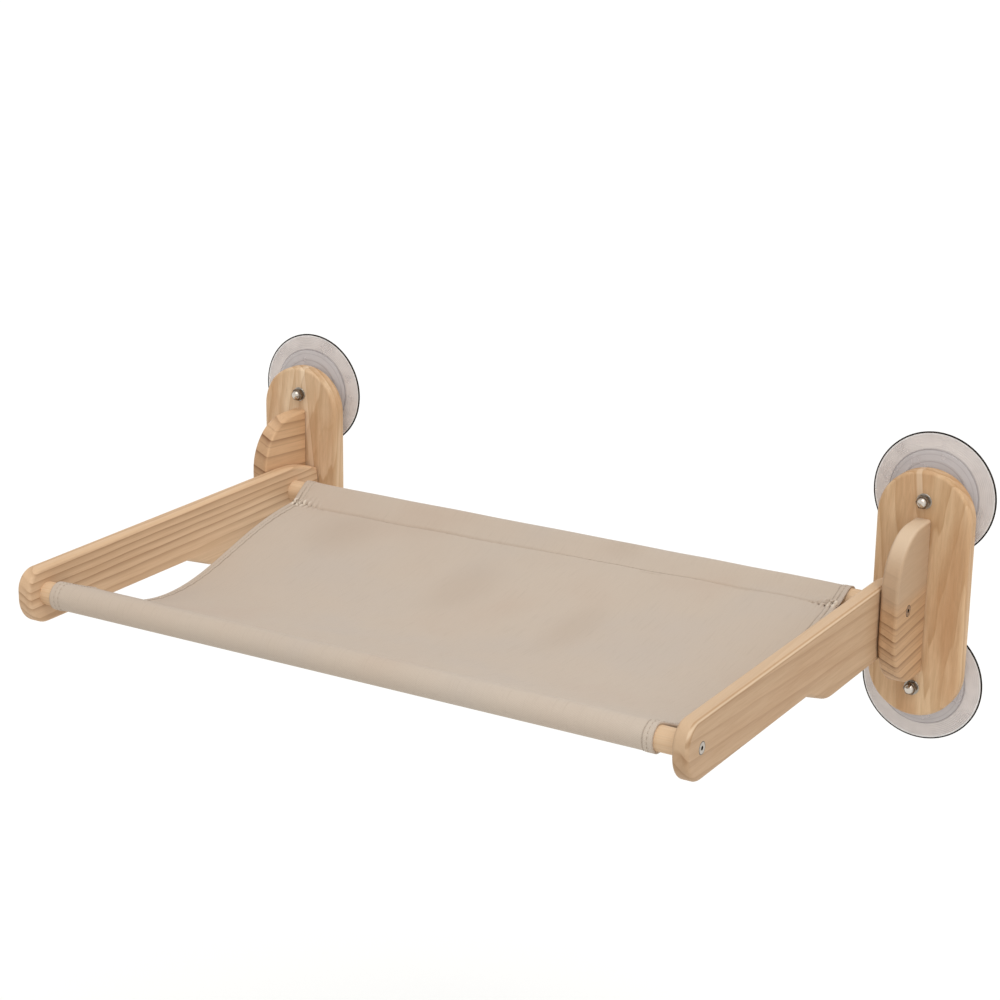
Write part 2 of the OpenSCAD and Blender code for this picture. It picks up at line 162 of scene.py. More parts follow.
def ramp(value, low, high, toLow=0.0, toHigh=1.0):
    # a soft step of the value between low and high
    places = {"Value": value, "From Min": low, "From Max": high, "To Min": toLow, "To Max": toHigh}
    return addNode(treeOf(value), "MapRange", places, interpolation_type="SMOOTHSTEP").outputs["Result"]


def blendColours(share, a, b, how="MIX"):
    places = {0: share, 6: a, 7: b}
    return addNode(treeOf(share, a, b), "Mix", places, data_type="RGBA", blend_type=how).outputs[2]


def tint(colour, share, code):
    return blendColours(share, colour, paint(code))


def noiseValue(vector, scale, detail=2.0, roughness=0.5):
    values = {"Vector": vector, "Scale": scale, "Detail": detail, "Roughness": roughness}
    return addNode(treeOf(vector), "TexNoise", values).outputs["Fac"]


def addBump(height, distance, strength=1.0):
    values = {"Height": height, "Distance": distance, "Strength": strength}
    return addNode(treeOf(height), "Bump", values).outputs["Normal"]


def startGroup(name, inputs, outputs):
    group = bpy.data.node_groups.new(name, "ShaderNodeTree")
    for label, kind, value in inputs:
        socket = group.interface.new_socket(label, in_out="INPUT", socket_type="NodeSocket" + kind)
        if value is not None:
            socket.default_value = value
    for label, kind in outputs:
        group.interface.new_socket(label, in_out="OUTPUT", socket_type="NodeSocket" + kind)
    given = group.nodes.new("NodeGroupInput").outputs
    result = group.nodes.new("NodeGroupOutput").inputs
    return group, given, result


def startMaterial(name, values):
    material = bpy.data.materials.new(name)
    material.use_nodes = True
    tree = material.node_tree
    tree.nodes.clear()
    surface = addNode(tree, "BsdfPrincipled", values)
    addNode(tree, "OutputMaterial", {"Surface": surface.outputs[0]})
    return material, tree, surface.inputs


def objectPlace(tree):
    return addNode(tree, "TexCoord").outputs["Object"]


def boxOf(node):
    low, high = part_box(node)
    return low, high, (low + high) / 2


def fromAxis(tree, node):
    # distance from the axis, along Y, of a round piece or of its mirror images in the other corners
    away = vectorMaths("ABSOLUTE", objectPlace(tree))
    return vectorMaths("LENGTH", stretched(vectorMaths("SUBTRACT", away, boxOf(node)[2]), (1, 0, 1)))


def fromBolt(tree):
    # distance from the axis, along X, of the nearest pivot or front bolt
    spokes = []
    for node in ("right_pivot_bolt", "right_front_bolt"):
        aside = vectorMaths("SUBTRACT", objectPlace(tree), boxOf(node)[2])
        spokes.append(vectorMaths("LENGTH", stretched(aside, (0, 1, 1))))
    return maths("MINIMUM", *spokes)


# Wood: growth rings round a pith line, fibres along it and slow drifts of colour

# scale of each noise across the fibres, and the share of that scale along them
grainNoise = {"sway": (16, 0.14), "quiver": (95, 0.14), "fibre": (1300, 0.012),
              "streak": (300, 0.045), "drift": (34, 0.16)}


def woodNoise(place, name, detail, roughness=0.5):
    scale, along = grainNoise[name]
    return noiseValue(stretched(place, (1, 1, along)), scale, detail, roughness)


def makeWoodGroup():
    group, given, result = startGroup("pineGrain", [
        ("Place", "Vector", None),          # in the log's own frame, its pith along Z
        ("Ring Width", "Float", 0.008),
        ("Waviness", "Float", 0.006),
        ("Latewood", "Float", 0.6),         # strength of the dark part of each ring
        ("Sharpness", "Float", 2.5),        # how late in a ring it darkens
        ("Second", "Float", 0.3),           # strength of a false ring between two
        ("Pale", "Color", (0.7, 0.5, 0.3, 1)),
        ("Dark", "Color", (0.4, 0.2, 0.1, 1)),
        ("Warm", "Color", (0.6, 0.35, 0.2, 1)),
        ("Warmth", "Float", 0.5),           # how much of the warm colour drifts in
        ("Streaks", "Float", 0.1),          # soft streaks a few millimetres wide
        ("Fibres", "Float", 0.1),
    ], [("Color", "Color"), ("Height", "Float"), ("Fibre", "Float")])
    place = given["Place"]
    sway = minus(woodNoise(place, "sway", 2), 0.5)
    quiver = minus(woodNoise(place, "quiver", 2), 0.5)
    bend = times(plus(sway, times(quiver, 0.3)), given["Waviness"])
    radius = vectorMaths("LENGTH", stretched(place, (1, 1, 0)))
    rings = ratio(plus(radius, bend), given["Ring Width"])
    age = maths("FRACT", rings)
    number = maths("FLOOR", rings)
    year = addNode(group, "TexWhiteNoise", {"W": number}, noise_dimensions="1D").outputs["Value"]
    # a ring darkens slowly and ends at once, some years less than others
    late = times(maths("POWER", age, given["Sharpness"]), ramp(age, 0.94, 1.0, 1.0, 0.0))
    late = times(late, ramp(year, 0.0, 1.0, 0.6, 1.0))
    # about two years in three have a false ring near their middle
    offset = gapTo(age, plus(0.4, times(year, 0.2)))
    second = times(ramp(offset, 0.0, 0.08, given["Second"], 0.0), maths("GREATER_THAN", year, 0.35))
    strength = times(maths("MAXIMUM", late, second), given["Latewood"], clamp=True)
    fibre = ramp(woodNoise(place, "fibre", 3, 0.6), 0.3, 0.7)
    streak = ramp(woodNoise(place, "streak", 3, 0.6), 0.32, 0.68)
    warm = ramp(woodNoise(place, "drift", 3, 0.55), 0.42, 0.68)
    colour = blendColours(strength, given["Pale"], given["Dark"])
    colour = blendColours(times(warm, given["Warmth"]), colour, given["Warm"])
    colour = blendColours(times(streak, given["Streaks"]), colour, given["Dark"])
    shade = minus(1.0, times(fibre, given["Fibres"]))
    grey = addNode(group, "CombineColor", {0: shade, 1: shade, 2: shade}).outputs[0]
    feed(result, {
        "Color": blendColours(1.0, colour, grey, "MULTIPLY"),
        "Height": plus(strength, times(fibre, 0.15)),
        "Fibre": fibre,
    })
    return group


woodGroup = makeWoodGroup()

plateGrain = {"wave": 0.016, "latewood": 0.65, "sharpness": 2.0, "second": 0.35, "warmth": 0.7,
              "streaks": 0.30, "fibres": 0.08}
dowelGrain = {"ring": 0.0032, "wave": 0.003, "latewood": 0.25, "sharpness": 1.5, "second": 0.2,
              "warmth": 0.3, "streaks": 0.10, "fibres": 0.08,
              "pale": "DFC09D", "dark": "C39A6E", "warm": "D5AE84"}

# Each board is cut from its own log: where the pith lies, which way the fibres run, and its colours
# the top colour is painted onto upward faces, a painted top light
boardWoods = {
    "leftPlate": {
        "pith": (-0.275, 0.034, 0), "fibre": (0.03, 0.085, 1), "ring": 0.0066, **plateGrain,
        "pale": "E9CCA9", "dark": "B2875A", "warm": "CB9E73",
        # glued up from two staves that meet at a leaning seam, with a light strip before it
        "stave": {"seam": -0.2962, "jump": (0.018, 0.012, 0.31), "darker": 0.15, "lowest": -0.2},
    },
    "rightPlate": {
        "pith": (0.316, 0.036, 0), "fibre": (0.02, -0.07, 1), "ring": 0.0070, **plateGrain,
        "pale": "E2C19A", "dark": "B18558", "warm": "C89A70",
        "stave": {"seam": 0.3091, "jump": (0.004, 0.003, 0.05), "darker": 0.12, "lowest": 0.070},
    },
    "leftRib": {
        "pith": (-0.365, -0.065, -0.120), "fibre": (-0.028, 0.995, -0.07),
        "ring": 0.01283, "wave": 0.003, "latewood": 0.95, "sharpness": 5.0, "second": 0.25,
        "warmth": 0.3, "streaks": 0.10, "fibres": 0.06,
        "pale": "D9B28A", "dark": "7D5535", "warm": "C69A6E", "endDarker": 0.34,
    },
    "rightRib": {
        "pith": (0.263, -0.045, -0.111), "fibre": (0.025, 0.995, 0.05),
        "ring": 0.00973, "wave": 0.003, "latewood": 0.95, "sharpness": 5.5, "second": 0.25,
        "warmth": 0.3, "streaks": 0.16, "fibres": 0.06,
        "pale": "CAA37C", "dark": "6C4729", "warm": "B68F67", "top": "E3CBAE", "topLightShare": 0.6,
        # the rings fade out upwards between these heights, all but the end grain's share
        "fade": (0.000, 0.018), "fadedLatewood": 0.06, "endKeeps": 0.45,
        "plain": "B79C80", "plainShare": 0.75, "endContrast": 0.5, "endDarker": 0.02,
    },
    "leftArm": {
        "pith": (-0.309, -0.22, -0.030), "fibre": (0, 1, 0.007),
        "ring": 0.0055, "wave": 0.006, "latewood": 0.85, "sharpness": 2.6, "second": 0.2,
        "warmth": 0.3, "streaks": 0.14, "fibres": 0.06,
        "pale": "DCBA96", "dark": "946A46", "warm": "CAA078", "top": "D6B38D", "topLightShare": 0.45,
        "endContrast": 0.0, "noseFade": (0.004, 0.014), "nosePaintedHighlight": 0.3,
    },
    "rightArm": {
        "pith": (0.1877, -0.35, -0.1063), "fibre": (-0.03, 1, -0.01),
        "ring": 0.00935, "wave": 0.005, "latewood": 0.42, "sharpness": 3.2, "second": 0.1,
        "warmth": 0.4, "streaks": 0.14, "fibres": 0.05,
        "pale": "C6A583", "dark": "8F6843", "warm": "B9926E", "top": "DABC9A", "topLightShare": 0.55,
        # painted highlight and shade lines where the top rounds over to the side: tilts of the surface,
        # colour and strength
        "shoulderLightAndShade": ((0.74, 0.98, "A77D55", 0.50), (0.34, 0.76, "F0D9BA", 0.40),
                     (0.02, 0.34, "96704A", 0.45)),
        # between these heights the nose loses its rings, and it is painted with this share of the top's
        # colour, a painted highlight
        "noseFade": (0.000, 0.006), "nosePaintedHighlight": 0.5,
    },
    "frontDowel": {"pith": (0, -0.38, 0.03), "fibre": (1, 0, 0.01), **dowelGrain},
    "rearDowel": {"pith": (0, -0.09, 0.02), "fibre": (1, 0, -0.01), **dowelGrain},
}
# where a face is cut across its fibres, by this tilt to them, its rings stand out more and it is darker
endGrain = {"tilt": (0.5, 0.95), "contrast": 0.8, "darker": 0.12}
woodFinish = {"ior": 1.45, "gloss": 0.35, "roughness": (0.52, 0.64), "relief": 0.00015}
glueSeam = {"lean": -0.105, "leanFrom": 0.056, "strip": 0.0045, "stripColour": "F2DCC0",
            "stripShare": 0.33, "line": 0.30}


def addStave(tree, place, stave):
    # moves the grain beyond the glue seam, and masks the far stave, the light strip and the seam's line
    parts = axes(place)
    rise = minus(parts["Z"], glueSeam["leanFrom"])
    beside = minus(minus(parts["X"], stave["seam"]), times(rise, glueSeam["lean"]))
    beyond = ramp(beside, -0.0001, 0.0001)
    jump = addNode(tree, "VectorMath", {0: stave["jump"], "Scale": beyond}, operation="SCALE")
    inStrip = minus(ramp(beside, -glueSeam["strip"] - 0.0012, -glueSeam["strip"]), beyond)
    high = ramp(parts["Z"], stave["lowest"], stave["lowest"] + 0.010)
    strip = times(times(inStrip, high), glueSeam["stripShare"], clamp=True)
    line = times(ramp(maths("ABSOLUTE", beside), 0.0002, 0.0007, glueSeam["line"], 0.0), high)
    return vectorMaths("ADD", place, jump.outputs["Vector"]), beyond, strip, line


def makeWood(name):
    values = boardWoods[name]
    material, tree, shader = startMaterial(name + "Pine", {"IOR": woodFinish["ior"],
                                                           "Specular IOR Level": woodFinish["gloss"]})
    coords = addNode(tree, "TexCoord").outputs
    place = coords["Object"]
    height = axes(place)["Z"]
    tilt = axes(coords["Normal"])
    fibre = Vector(values["fibre"])
    across = vectorMaths("DOT_PRODUCT", coords["Normal"], fibre.normalized())
    cutAcross = ramp(maths("ABSOLUTE", across), *endGrain["tilt"])
    latewood = values["latewood"]
    if "fade" in values:
        plain = ramp(height, *values["fade"])
        latewood = maths("MAXIMUM", ramp(height, *values["fade"], latewood, values["fadedLatewood"]),
                         times(cutAcross, values["endKeeps"]))
    more = plus(1.0, times(cutAcross, values.get("endContrast", endGrain["contrast"])))
    if "noseFade" in values:
        nose = times(ramp(height, *values["noseFade"]), cutAcross)
        more = times(more, minus(1.0, nose))
    latewood = times(latewood, more)
    logPlace = place
    if "stave" in values:
        logPlace, beyond, strip, seamLine = addStave(tree, place, values["stave"])
    lean = fibre.to_track_quat("Z", "Y").to_euler()
    log = addNode(tree, "Mapping", {"Vector": logPlace, "Location": values["pith"], "Rotation": lean},
                  vector_type="TEXTURE").outputs["Vector"]
    grain = addNode(tree, "Group", node_tree=woodGroup)
    feed(grain.inputs, {"Place": log, "Latewood": latewood})
    grain.inputs["Ring Width"].default_value = values["ring"]
    grain.inputs["Waviness"].default_value = values["wave"]
    for label in ("Sharpness", "Second", "Warmth", "Streaks", "Fibres"):
        grain.inputs[label].default_value = values[label.lower()]
    for label in ("Pale", "Dark", "Warm"):
        grain.inputs[label].default_value = paint(values[label.lower()])
    colour = grain.outputs["Color"]
    if "fade" in values:
        colour = tint(colour, times(plain, values["plainShare"]), values["plain"])
    if "stave" in values:
        colour = tint(colour, times(beyond, values["stave"]["darker"]), values["dark"])
        colour = tint(colour, strip, glueSeam["stripColour"])
        colour = tint(colour, seamLine, values["dark"])
    # upward faces are painted lighter with the top colour, a painted top light
    if "top" in values:
        colour = tint(colour, ramp(tilt["Z"], 0.3, 0.95, 0.0, values["topLightShare"]), values["top"])
    # the nose is painted lighter with the top colour, a painted highlight
    if "nosePaintedHighlight" in values:
        colour = tint(colour, times(nose, values["nosePaintedHighlight"]), values["top"])
    # the rounded edge is painted with highlight and shade lines by its tilt
    if "shoulderLightAndShade" in values:
        rounding = ramp(tilt["X"], 0.12, 0.30)
        for start, end, shade, share in values["shoulderLightAndShade"]:
            offset = gapTo(tilt["Z"], (start + end) / 2)
            mask = ramp(offset, (end - start) / 6, (end - start) / 2, share, 0.0)
            colour = tint(colour, times(mask, rounding), shade)
    darker = values.get("endDarker", endGrain["darker"])
    feed(shader, {
        "Base Color": tint(colour, times(cutAcross, darker), values["dark"]),
        "Roughness": ramp(grain.outputs["Fibre"], 0, 1, *woodFinish["roughness"]),
        "Normal": addBump(grain.outputs["Height"], woodFinish["relief"]),
    })
    return material


woods = {name: makeWood(name) for name in boardWoods}
print("wood ready")


# Metal: faint turning marks and smudges

def makeMetalGroup():
    group, given, result = startGroup("metalFinish", [
        ("Place", "Vector", None),
        ("Smooth", "Float", 0.2),
        ("Rough", "Float", 0.4),
        ("Scale", "Float", 400.0),
    ], [("Roughness", "Float"), ("Height", "Float"), ("Tarnish", "Float")])
    cloud = noiseValue(given["Place"], given["Scale"], 4, 0.6)
    span = minus(given["Rough"], given["Smooth"])
    feed(result, {
        "Roughness": plus(given["Smooth"], times(cloud, span)),
        "Height": noiseValue(given["Place"], 2200, 3),
        "Tarnish": ramp(cloud, 0.5, 0.8),
    })
    return group


metalGroup = makeMetalGroup()

metals = {
    "zincSteel": {"clean": "ADA69C", "dull": "857D73", "smooth": 0.24, "rough": 0.46, "scale": 500},
    # the dome nuts are painted darker and browner towards the foot of the dome, a painted dark reflection
    "nickelNut": {"clean": "C9C1B7", "dull": "A5998C", "smooth": 0.08, "rough": 0.16, "scale": 300,
                  "foot": (0.0026, 0.0048), "footPaintedDark": "7C6F62"},
    # a countersunk head is painted dark round its rim, a painted shade where it meets the wood, and its
    # socket is painted dark, a painted shade in the recess
    "boltSteel": {"clean": "B9B0A5", "dull": "8D8478", "smooth": 0.22, "rough": 0.42, "scale": 500,
                  "foot": (0.0039, 0.0048), "footPaintedDark": "3E342C", "socket": (0.0014, 0.0019)},
    "turnedBrass": {"clean": "C9A55A", "dull": "9B7A3C", "smooth": 0.22, "rough": 0.40, "scale": 600},
}


def makeMetal(name):
    values = metals[name]
    material, tree, shader = startMaterial(name, {"Metallic": 1.0})
    finish = addNode(tree, "Group", node_tree=metalGroup)
    feed(finish.inputs, {"Place": objectPlace(tree)})
    for label in ("Smooth", "Rough", "Scale"):
        finish.inputs[label].default_value = values[label.lower()]
    colour = blendColours(finish.outputs["Tarnish"], paint(values["clean"]), paint(values["dull"]))
    # nuts: painted darker towards the foot, a painted dark reflection; bolts: painted dark round the head's
    # rim and in the socket, a painted shade
    if "foot" in values:
        radius = fromBolt(tree) if name == "boltSteel" else fromAxis(tree, "right_upper_nut")
        foot = ramp(radius, *values["foot"])
        if "socket" in values:
            foot = maths("MAXIMUM", foot, ramp(radius, *values["socket"], 1.0, 0.0))
        colour = tint(colour, foot, values["footPaintedDark"])
    feed(shader, {"Base Color": colour, "Roughness": finish.outputs["Roughness"],
                  "Normal": addBump(finish.outputs["Height"], 0.00001, 0.4)})
    return material


metal = {name: makeMetal(name) for name in metals}

nylon = {"colour": "3A2F28", "worn": "55483E"}


def makeNylon():
    material, tree, shader = startMaterial("darkNylon", {"Roughness": 0.5})
    cloud = noiseValue(objectPlace(tree), 900, 3)
    colour = blendColours(ramp(cloud, 0.4, 0.7), paint(nylon["colour"]), paint(nylon["worn"]))
    feed(shader, {"Base Color": colour, "Normal": addBump(cloud, 0.00003)})
    return material


# The cups' rims are painted nearly black, a painted dark refraction, where their edge is seen through the
# whole width of the plastic
cupRim = {"colour": "120B09", "worn": "2A1D19", "width": 0.0012}

# Soft clear plastic of the cups, milky in the disc
clearPlastic = {
    "band": "E6DDD8", "disc": "CEC6C4", "cloud": "BFB4B3", "cloudShare": 0.18, "line": "7C716E",
    # the lip colour is painted near white just inside the rim, a painted highlight
    "lip": "FDFBF9", "lipHighlightShare": 0.8,
    "discRadius": 0.0375, "lipHighlightRadius": 0.0499, "transmission": 0.36,
    # rings moulded into the disc: radius, width and strength
    "lines": ((0.0380, 0.0005, 0.60), (0.0345, 0.0004, 0.22), (0.0285, 0.0005, 0.30)),
    "ripples": 0.00152, "rippleShadeStrength": 0.30,
}


def makeCupPlastic():
    values = clearPlastic
    disc = values["discRadius"]
    lip = values["lipHighlightRadius"]
    material, tree, shader = startMaterial("clearPlastic", {"IOR": 1.5,
                                                            "Transmission Weight": values["transmission"]})
    place = objectPlace(tree)
    radius = fromAxis(tree, "right_upper_cup")
    cloud = noiseValue(place, 60, 2)
    inDisc = ramp(radius, disc, disc + 0.002, 1.0, 0.0)
    colour = blendColours(inDisc, paint(values["band"]), paint(values["disc"]))
    colour = tint(colour, times(ramp(cloud, 0.35, 0.7), values["cloudShare"]), values["cloud"])
    # the band's ripples are painted darker in patches, a painted shade of their ridges
    wave = maths("COSINE", times(ratio(minus(radius, disc), values["ripples"]), fullTurn))
    strength = minus(values["rippleShadeStrength"], times(inDisc, values["rippleShadeStrength"]))
    seen = times(ramp(noiseValue(place, 30, 2), 0.42, 0.62), strength)
    colour = tint(colour, times(ramp(wave, 0.0, 1.0), seen), values["line"])
    for at, width, share in values["lines"]:
        mask = ramp(gapTo(radius, at), width / 2, width * 1.5, share, 0.0)
        colour = tint(colour, mask, values["line"])
    feed(shader, {
        # the lip's near white ring is a painted highlight
        "Base Color": tint(colour, ramp(radius, lip, lip + 0.0004, 0.0, values["lipHighlightShare"]), values["lip"]),
        "Roughness": ramp(cloud, 0.2, 0.8, 0.16, 0.30),
        "Normal": addBump(cloud, 0.0006, 0.5),
    })
    return material


def makeCupRim():
    material, tree, shader = startMaterial("cupRimPaintedDark", {"IOR": 1.45, "Specular IOR Level": 0.08,
                                                          "Roughness": 0.45})
    cloud = noiseValue(objectPlace(tree), 120, 2)
    # the rim's near black is a painted dark refraction
    colour = blendColours(ramp(cloud, 0.35, 0.7), paint(cupRim["colour"]), paint(cupRim["worn"]))
    feed(shader, {"Base Color": colour})
    return material


darkNylon = makeNylon()
cupPlastic = makeCupPlastic()
cupRimPaintedDark = makeCupRim()
print("materials ready")


# Helpers for pieces

def addObject(bm, name):
    mesh = bpy.data.meshes.new(name)
    bm.to_mesh(mesh)
    bm.free()
    piece = bpy.data.objects.new(name, mesh)
    scene.collection.objects.link(piece)
    return piece


def mend(bm):
    bmesh.ops.remove_doubles(bm, verts=bm.verts, dist=mergeGap)
    bmesh.ops.recalc_face_normals(bm, faces=bm.faces)


def markSharp(bm, degrees=32):
    limit = math.radians(degrees)
    for face in bm.faces:
        face.smooth = True
    for edge in bm.edges:
        edge.smooth = len(edge.link_faces) != 2 or edge.calc_face_angle(0) < limit


def makePiece(bm, name, material, sharpAt=32):
    mend(bm)
    markSharp(bm, sharpAt)
    piece = addObject(bm, name)
    piece.data.materials.append(material)
    return piece


def settle(piece, body, slot, *nodes):
    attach(piece, body)
    if nodes:
        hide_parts(*nodes)


def keepFlatsFlat(piece):
    # wide flat faces keep their own normal beside a rounded edge
    weighted = piece.modifiers.new("flats", "WEIGHTED_NORMAL")
    weighted.keep_sharp = True
    weighted.weight = 100


def facing(place, direction):
    # stands a shape at a place and turns its own +Z to a direction
    return Matrix.Translation(place) @ Vector(direction).to_track_quat("Z", "Y").to_matrix().to_4x4()


def onBack(node):
    # at the middle of a node's rear face, facing the room
    low, high, middle = boxOf(node)
    return facing((middle.x, high.y, middle.z), roomward)


def lathe(bm, outline, steps, matrix=Matrix()):
    # turns an outline of (radius, height) about Z, then puts it in place
    verts = [bm.verts.new((radius, 0, height)) for radius, height in outline]
    edges = [bm.edges.new(pair) for pair in zip(verts, verts[1:])]
    before = set(bm.verts) - set(verts)
    bmesh.ops.spin(bm, geom=verts + edges, cent=(0, 0, 0), axis=(0, 0, 1), angle=fullTurn, steps=steps,
                   use_merge=True)
    made = [v for v in bm.verts if v not in before]
    bmesh.ops.transform(bm, matrix=matrix, verts=made)


def makeHexagonal(verts, reach):
    # draws a round ring of points about Z in to the hexagon whose corners lie on the ring
    sixth = fullTurn / 6
    for vert in verts:
        if abs(vert.co.xy.length - reach) < mergeGap:
            turn = math.atan2(vert.co.y, vert.co.x) % sixth - sixth / 2
            vert.co.xy *= math.cos(sixth / 2) / math.cos(turn)


def easeEdges(bm, edges, width, steps):
    bmesh.ops.bevel(bm, geom=edges, offset=width, offset_type="OFFSET", segments=steps, profile=0.5,
                    affect="EDGES", clamp_overlap=True, material=-1)


def sharpCorner(y, z):
    return (y, z, 0, 0, 0, 0)


def drawOutline(bm, corners):
    # corners in the YZ plane: centre y, centre z, radius, first angle, last angle and steps
    chain = []
    for y, z, radius, first, last, steps in corners:
        start = math.radians(first)
        spot = Vector((0, y + radius * math.cos(start), z + radius * math.sin(start)))
        if chain and (chain[-1].co - spot).length < mergeGap:
            vert = chain[-1]
        else:
            vert = bm.verts.new(spot)
            chain.append(vert)
        if radius:
            count = len(bm.verts)
            bmesh.ops.spin(bm, geom=[vert], cent=(0, y, z), axis=(1, 0, 0),
                           angle=math.radians(last - first), steps=steps)
            bm.verts.ensure_lookup_table()
            chain += bm.verts[count:]
    for a, b in zip(chain, chain[1:] + chain[:1]):
        if not bm.edges.get((a, b)):
            bm.edges.new((a, b))
    bmesh.ops.contextual_create(bm, geom=bm.edges[:])


def makeBoard(name, corners, thickness, matrix, easing, material):
    # an outline in YZ gets its thickness along X, and its rims are eased
    bm = bmesh.new()
    drawOutline(bm, corners)
    made = bmesh.ops.extrude_face_region(bm, geom=bm.faces[:])
    raised = [v for v in made["geom"] if isinstance(v, bmesh.types.BMVert)]
    bmesh.ops.translate(bm, verts=raised, vec=(thickness, 0, 0))
    bmesh.ops.translate(bm, verts=bm.verts, vec=(-thickness / 2, 0, 0))
    bmesh.ops.recalc_face_normals(bm, faces=bm.faces)
    flat = {f for f in bm.faces if abs(f.normal.x) > 0.999}
    rims = [e for e in bm.edges if len(flat.intersection(e.link_faces)) == 1]
    easeEdges(bm, rims, easing["radius"], easing["steps"])
    bmesh.ops.transform(bm, matrix=matrix, verts=bm.verts)
    piece = makePiece(bm, name, material)
    keepFlatsFlat(piece)
    return piece


def cutAway(piece, bm, crossing=False):
    # takes a shape, which may cross itself, out of a piece
    cutter = addObject(bm, "cutter")
    cut = piece.modifiers.new("cut", "BOOLEAN")
    cut.operation = "DIFFERENCE"
    cut.solver = "EXACT"
    cut.use_self = crossing
    cut.object = cutter
    piece.modifiers.move(len(piece.modifiers) - 1, 0)
    with bpy.context.temp_override(object=piece, active_object=piece):
        bpy.ops.object.modifier_apply(modifier="cut")
    bpy.data.meshes.remove(cutter.data)


def drill(piece, holes):
    # holes: place of the mouth, direction into the board, outline of (radius, depth)
    bm = bmesh.new()
    for place, direction, outline in holes:
        lathe(bm, outline, hole["steps"], facing(place, direction))
    mend(bm)
    cutAway(piece, bm)
    bm = bmesh.new()
    bm.from_mesh(piece.data)
    markSharp(bm)
    bm.to_mesh(piece.data)
    bm.free()


# Boards

easing = {"radius": 0.003, "steps": 5}
hole = {
    "stud": 0.00305, "ribScrewHead": 0.00405, "ribScrew": 0.00205, "ribScrewDepth": 0.041,
    "boltHead": 0.00505, "bolt": 0.00255, "pivotBoltHead": 0.00506, "pivotBolt": 0.00256,
    "steps": 40,
    "runOut": 0.001,  # a cutter runs past the face by this
}
plate = {"endSteps": 28}
rib = {"cornerRadius": 0.045, "cornerSteps": 14}
arm = {
    "height": 0.047, "noseRadius": 0.017, "chinRadius": 0.023, "noseSteps": 12,
    "slopeRadius": 0.130, "slopeLength": 0.052, "slopeSteps": 10, "plateGap": 0.0004, "rearSteps": 8,
    "heelLength": 0.197, "rampLength": 0.040, "rampRadius": 0.050, "rampSteps": 6,
    "easing": {"radius": 0.0045, "steps": 6},
}

studLevel = boxOf("right_upper_stud")[2].z
screwLow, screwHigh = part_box("right_rib_screws")
screwLevel = (screwHigh.z - screwLow.z) / 2 - hole["ribScrewHead"]
frontDowelY = boxOf("front_dowel")[2].y


def countersunk(headRadius, shankRadius, depth):
    return [(0, -hole["runOut"]), (headRadius, -hole["runOut"]), (headRadius, 0),
            (shankRadius, headRadius - shankRadius), (shankRadius, depth), (0, depth)]


def bore(radius, depth):
    return [(0, -hole["runOut"]), (radius, -hole["runOut"]), (radius, depth), (0, depth)]


def ribScrewHoles(x, plateBack):
    outline = countersunk(hole["ribScrewHead"], hole["ribScrew"], hole["ribScrewDepth"])
    return [((x, plateBack, up * screwLevel), roomward, outline) for level, up in levels]


def makePlate(side):
    node = side + "_plate"
    low, high, middle = boxOf(node)
    half = (high.x - low.x) / 2
    thickness = high.y - low.y
    endZ = high.z - half
    corners = [(0, endZ, half, 0, 180, plate["endSteps"]), (0, -endZ, half, 180, 360, plate["endSteps"])]
    turn = Matrix.Translation(middle) @ Matrix.Rotation(math.pi / 2, 4, "Z")
    piece = makeBoard(side + "PlateBoard", corners, thickness, turn, easing, woods[side + "Plate"])
    studHole = bore(hole["stud"], thickness + hole["runOut"])
    holes = [((middle.x, high.y, up * studLevel), roomward, studHole) for level, up in levels]
    drill(piece, holes + ribScrewHoles(middle.x, high.y))
    settle(piece, "brackets", "pine_plate", node)


def makeRib(side, sign):
    node = side + "_rib"
    low, high, middle = boxOf(node)
    thickness = high.x - low.x
    radius = rib["cornerRadius"]
    cornerY = low.y + radius
    cornerZ = high.z - radius
    corners = [sharpCorner(high.y, low.z), sharpCorner(high.y, high.z),
               (cornerY, cornerZ, radius, 90, 180, rib["cornerSteps"]),
               (cornerY, -cornerZ, radius, 180, 270, rib["cornerSteps"])]
    place = Matrix.Translation((middle.x, 0, 0))
    piece = makeBoard(side + "RibBoard", corners, thickness, place, easing, woods[side + "Rib"])
    outer = high.x if sign > 0 else low.x
    through = countersunk(hole["pivotBoltHead"], hole["pivotBolt"], thickness + hole["runOut"])
    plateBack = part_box(side + "_plate")[1].y
    drill(piece, [((outer, pivot.y, pivot.z), (-sign, 0, 0), through), *ribScrewHoles(middle.x, plateBack)])
    settle(piece, "brackets", "pine_rib", node)


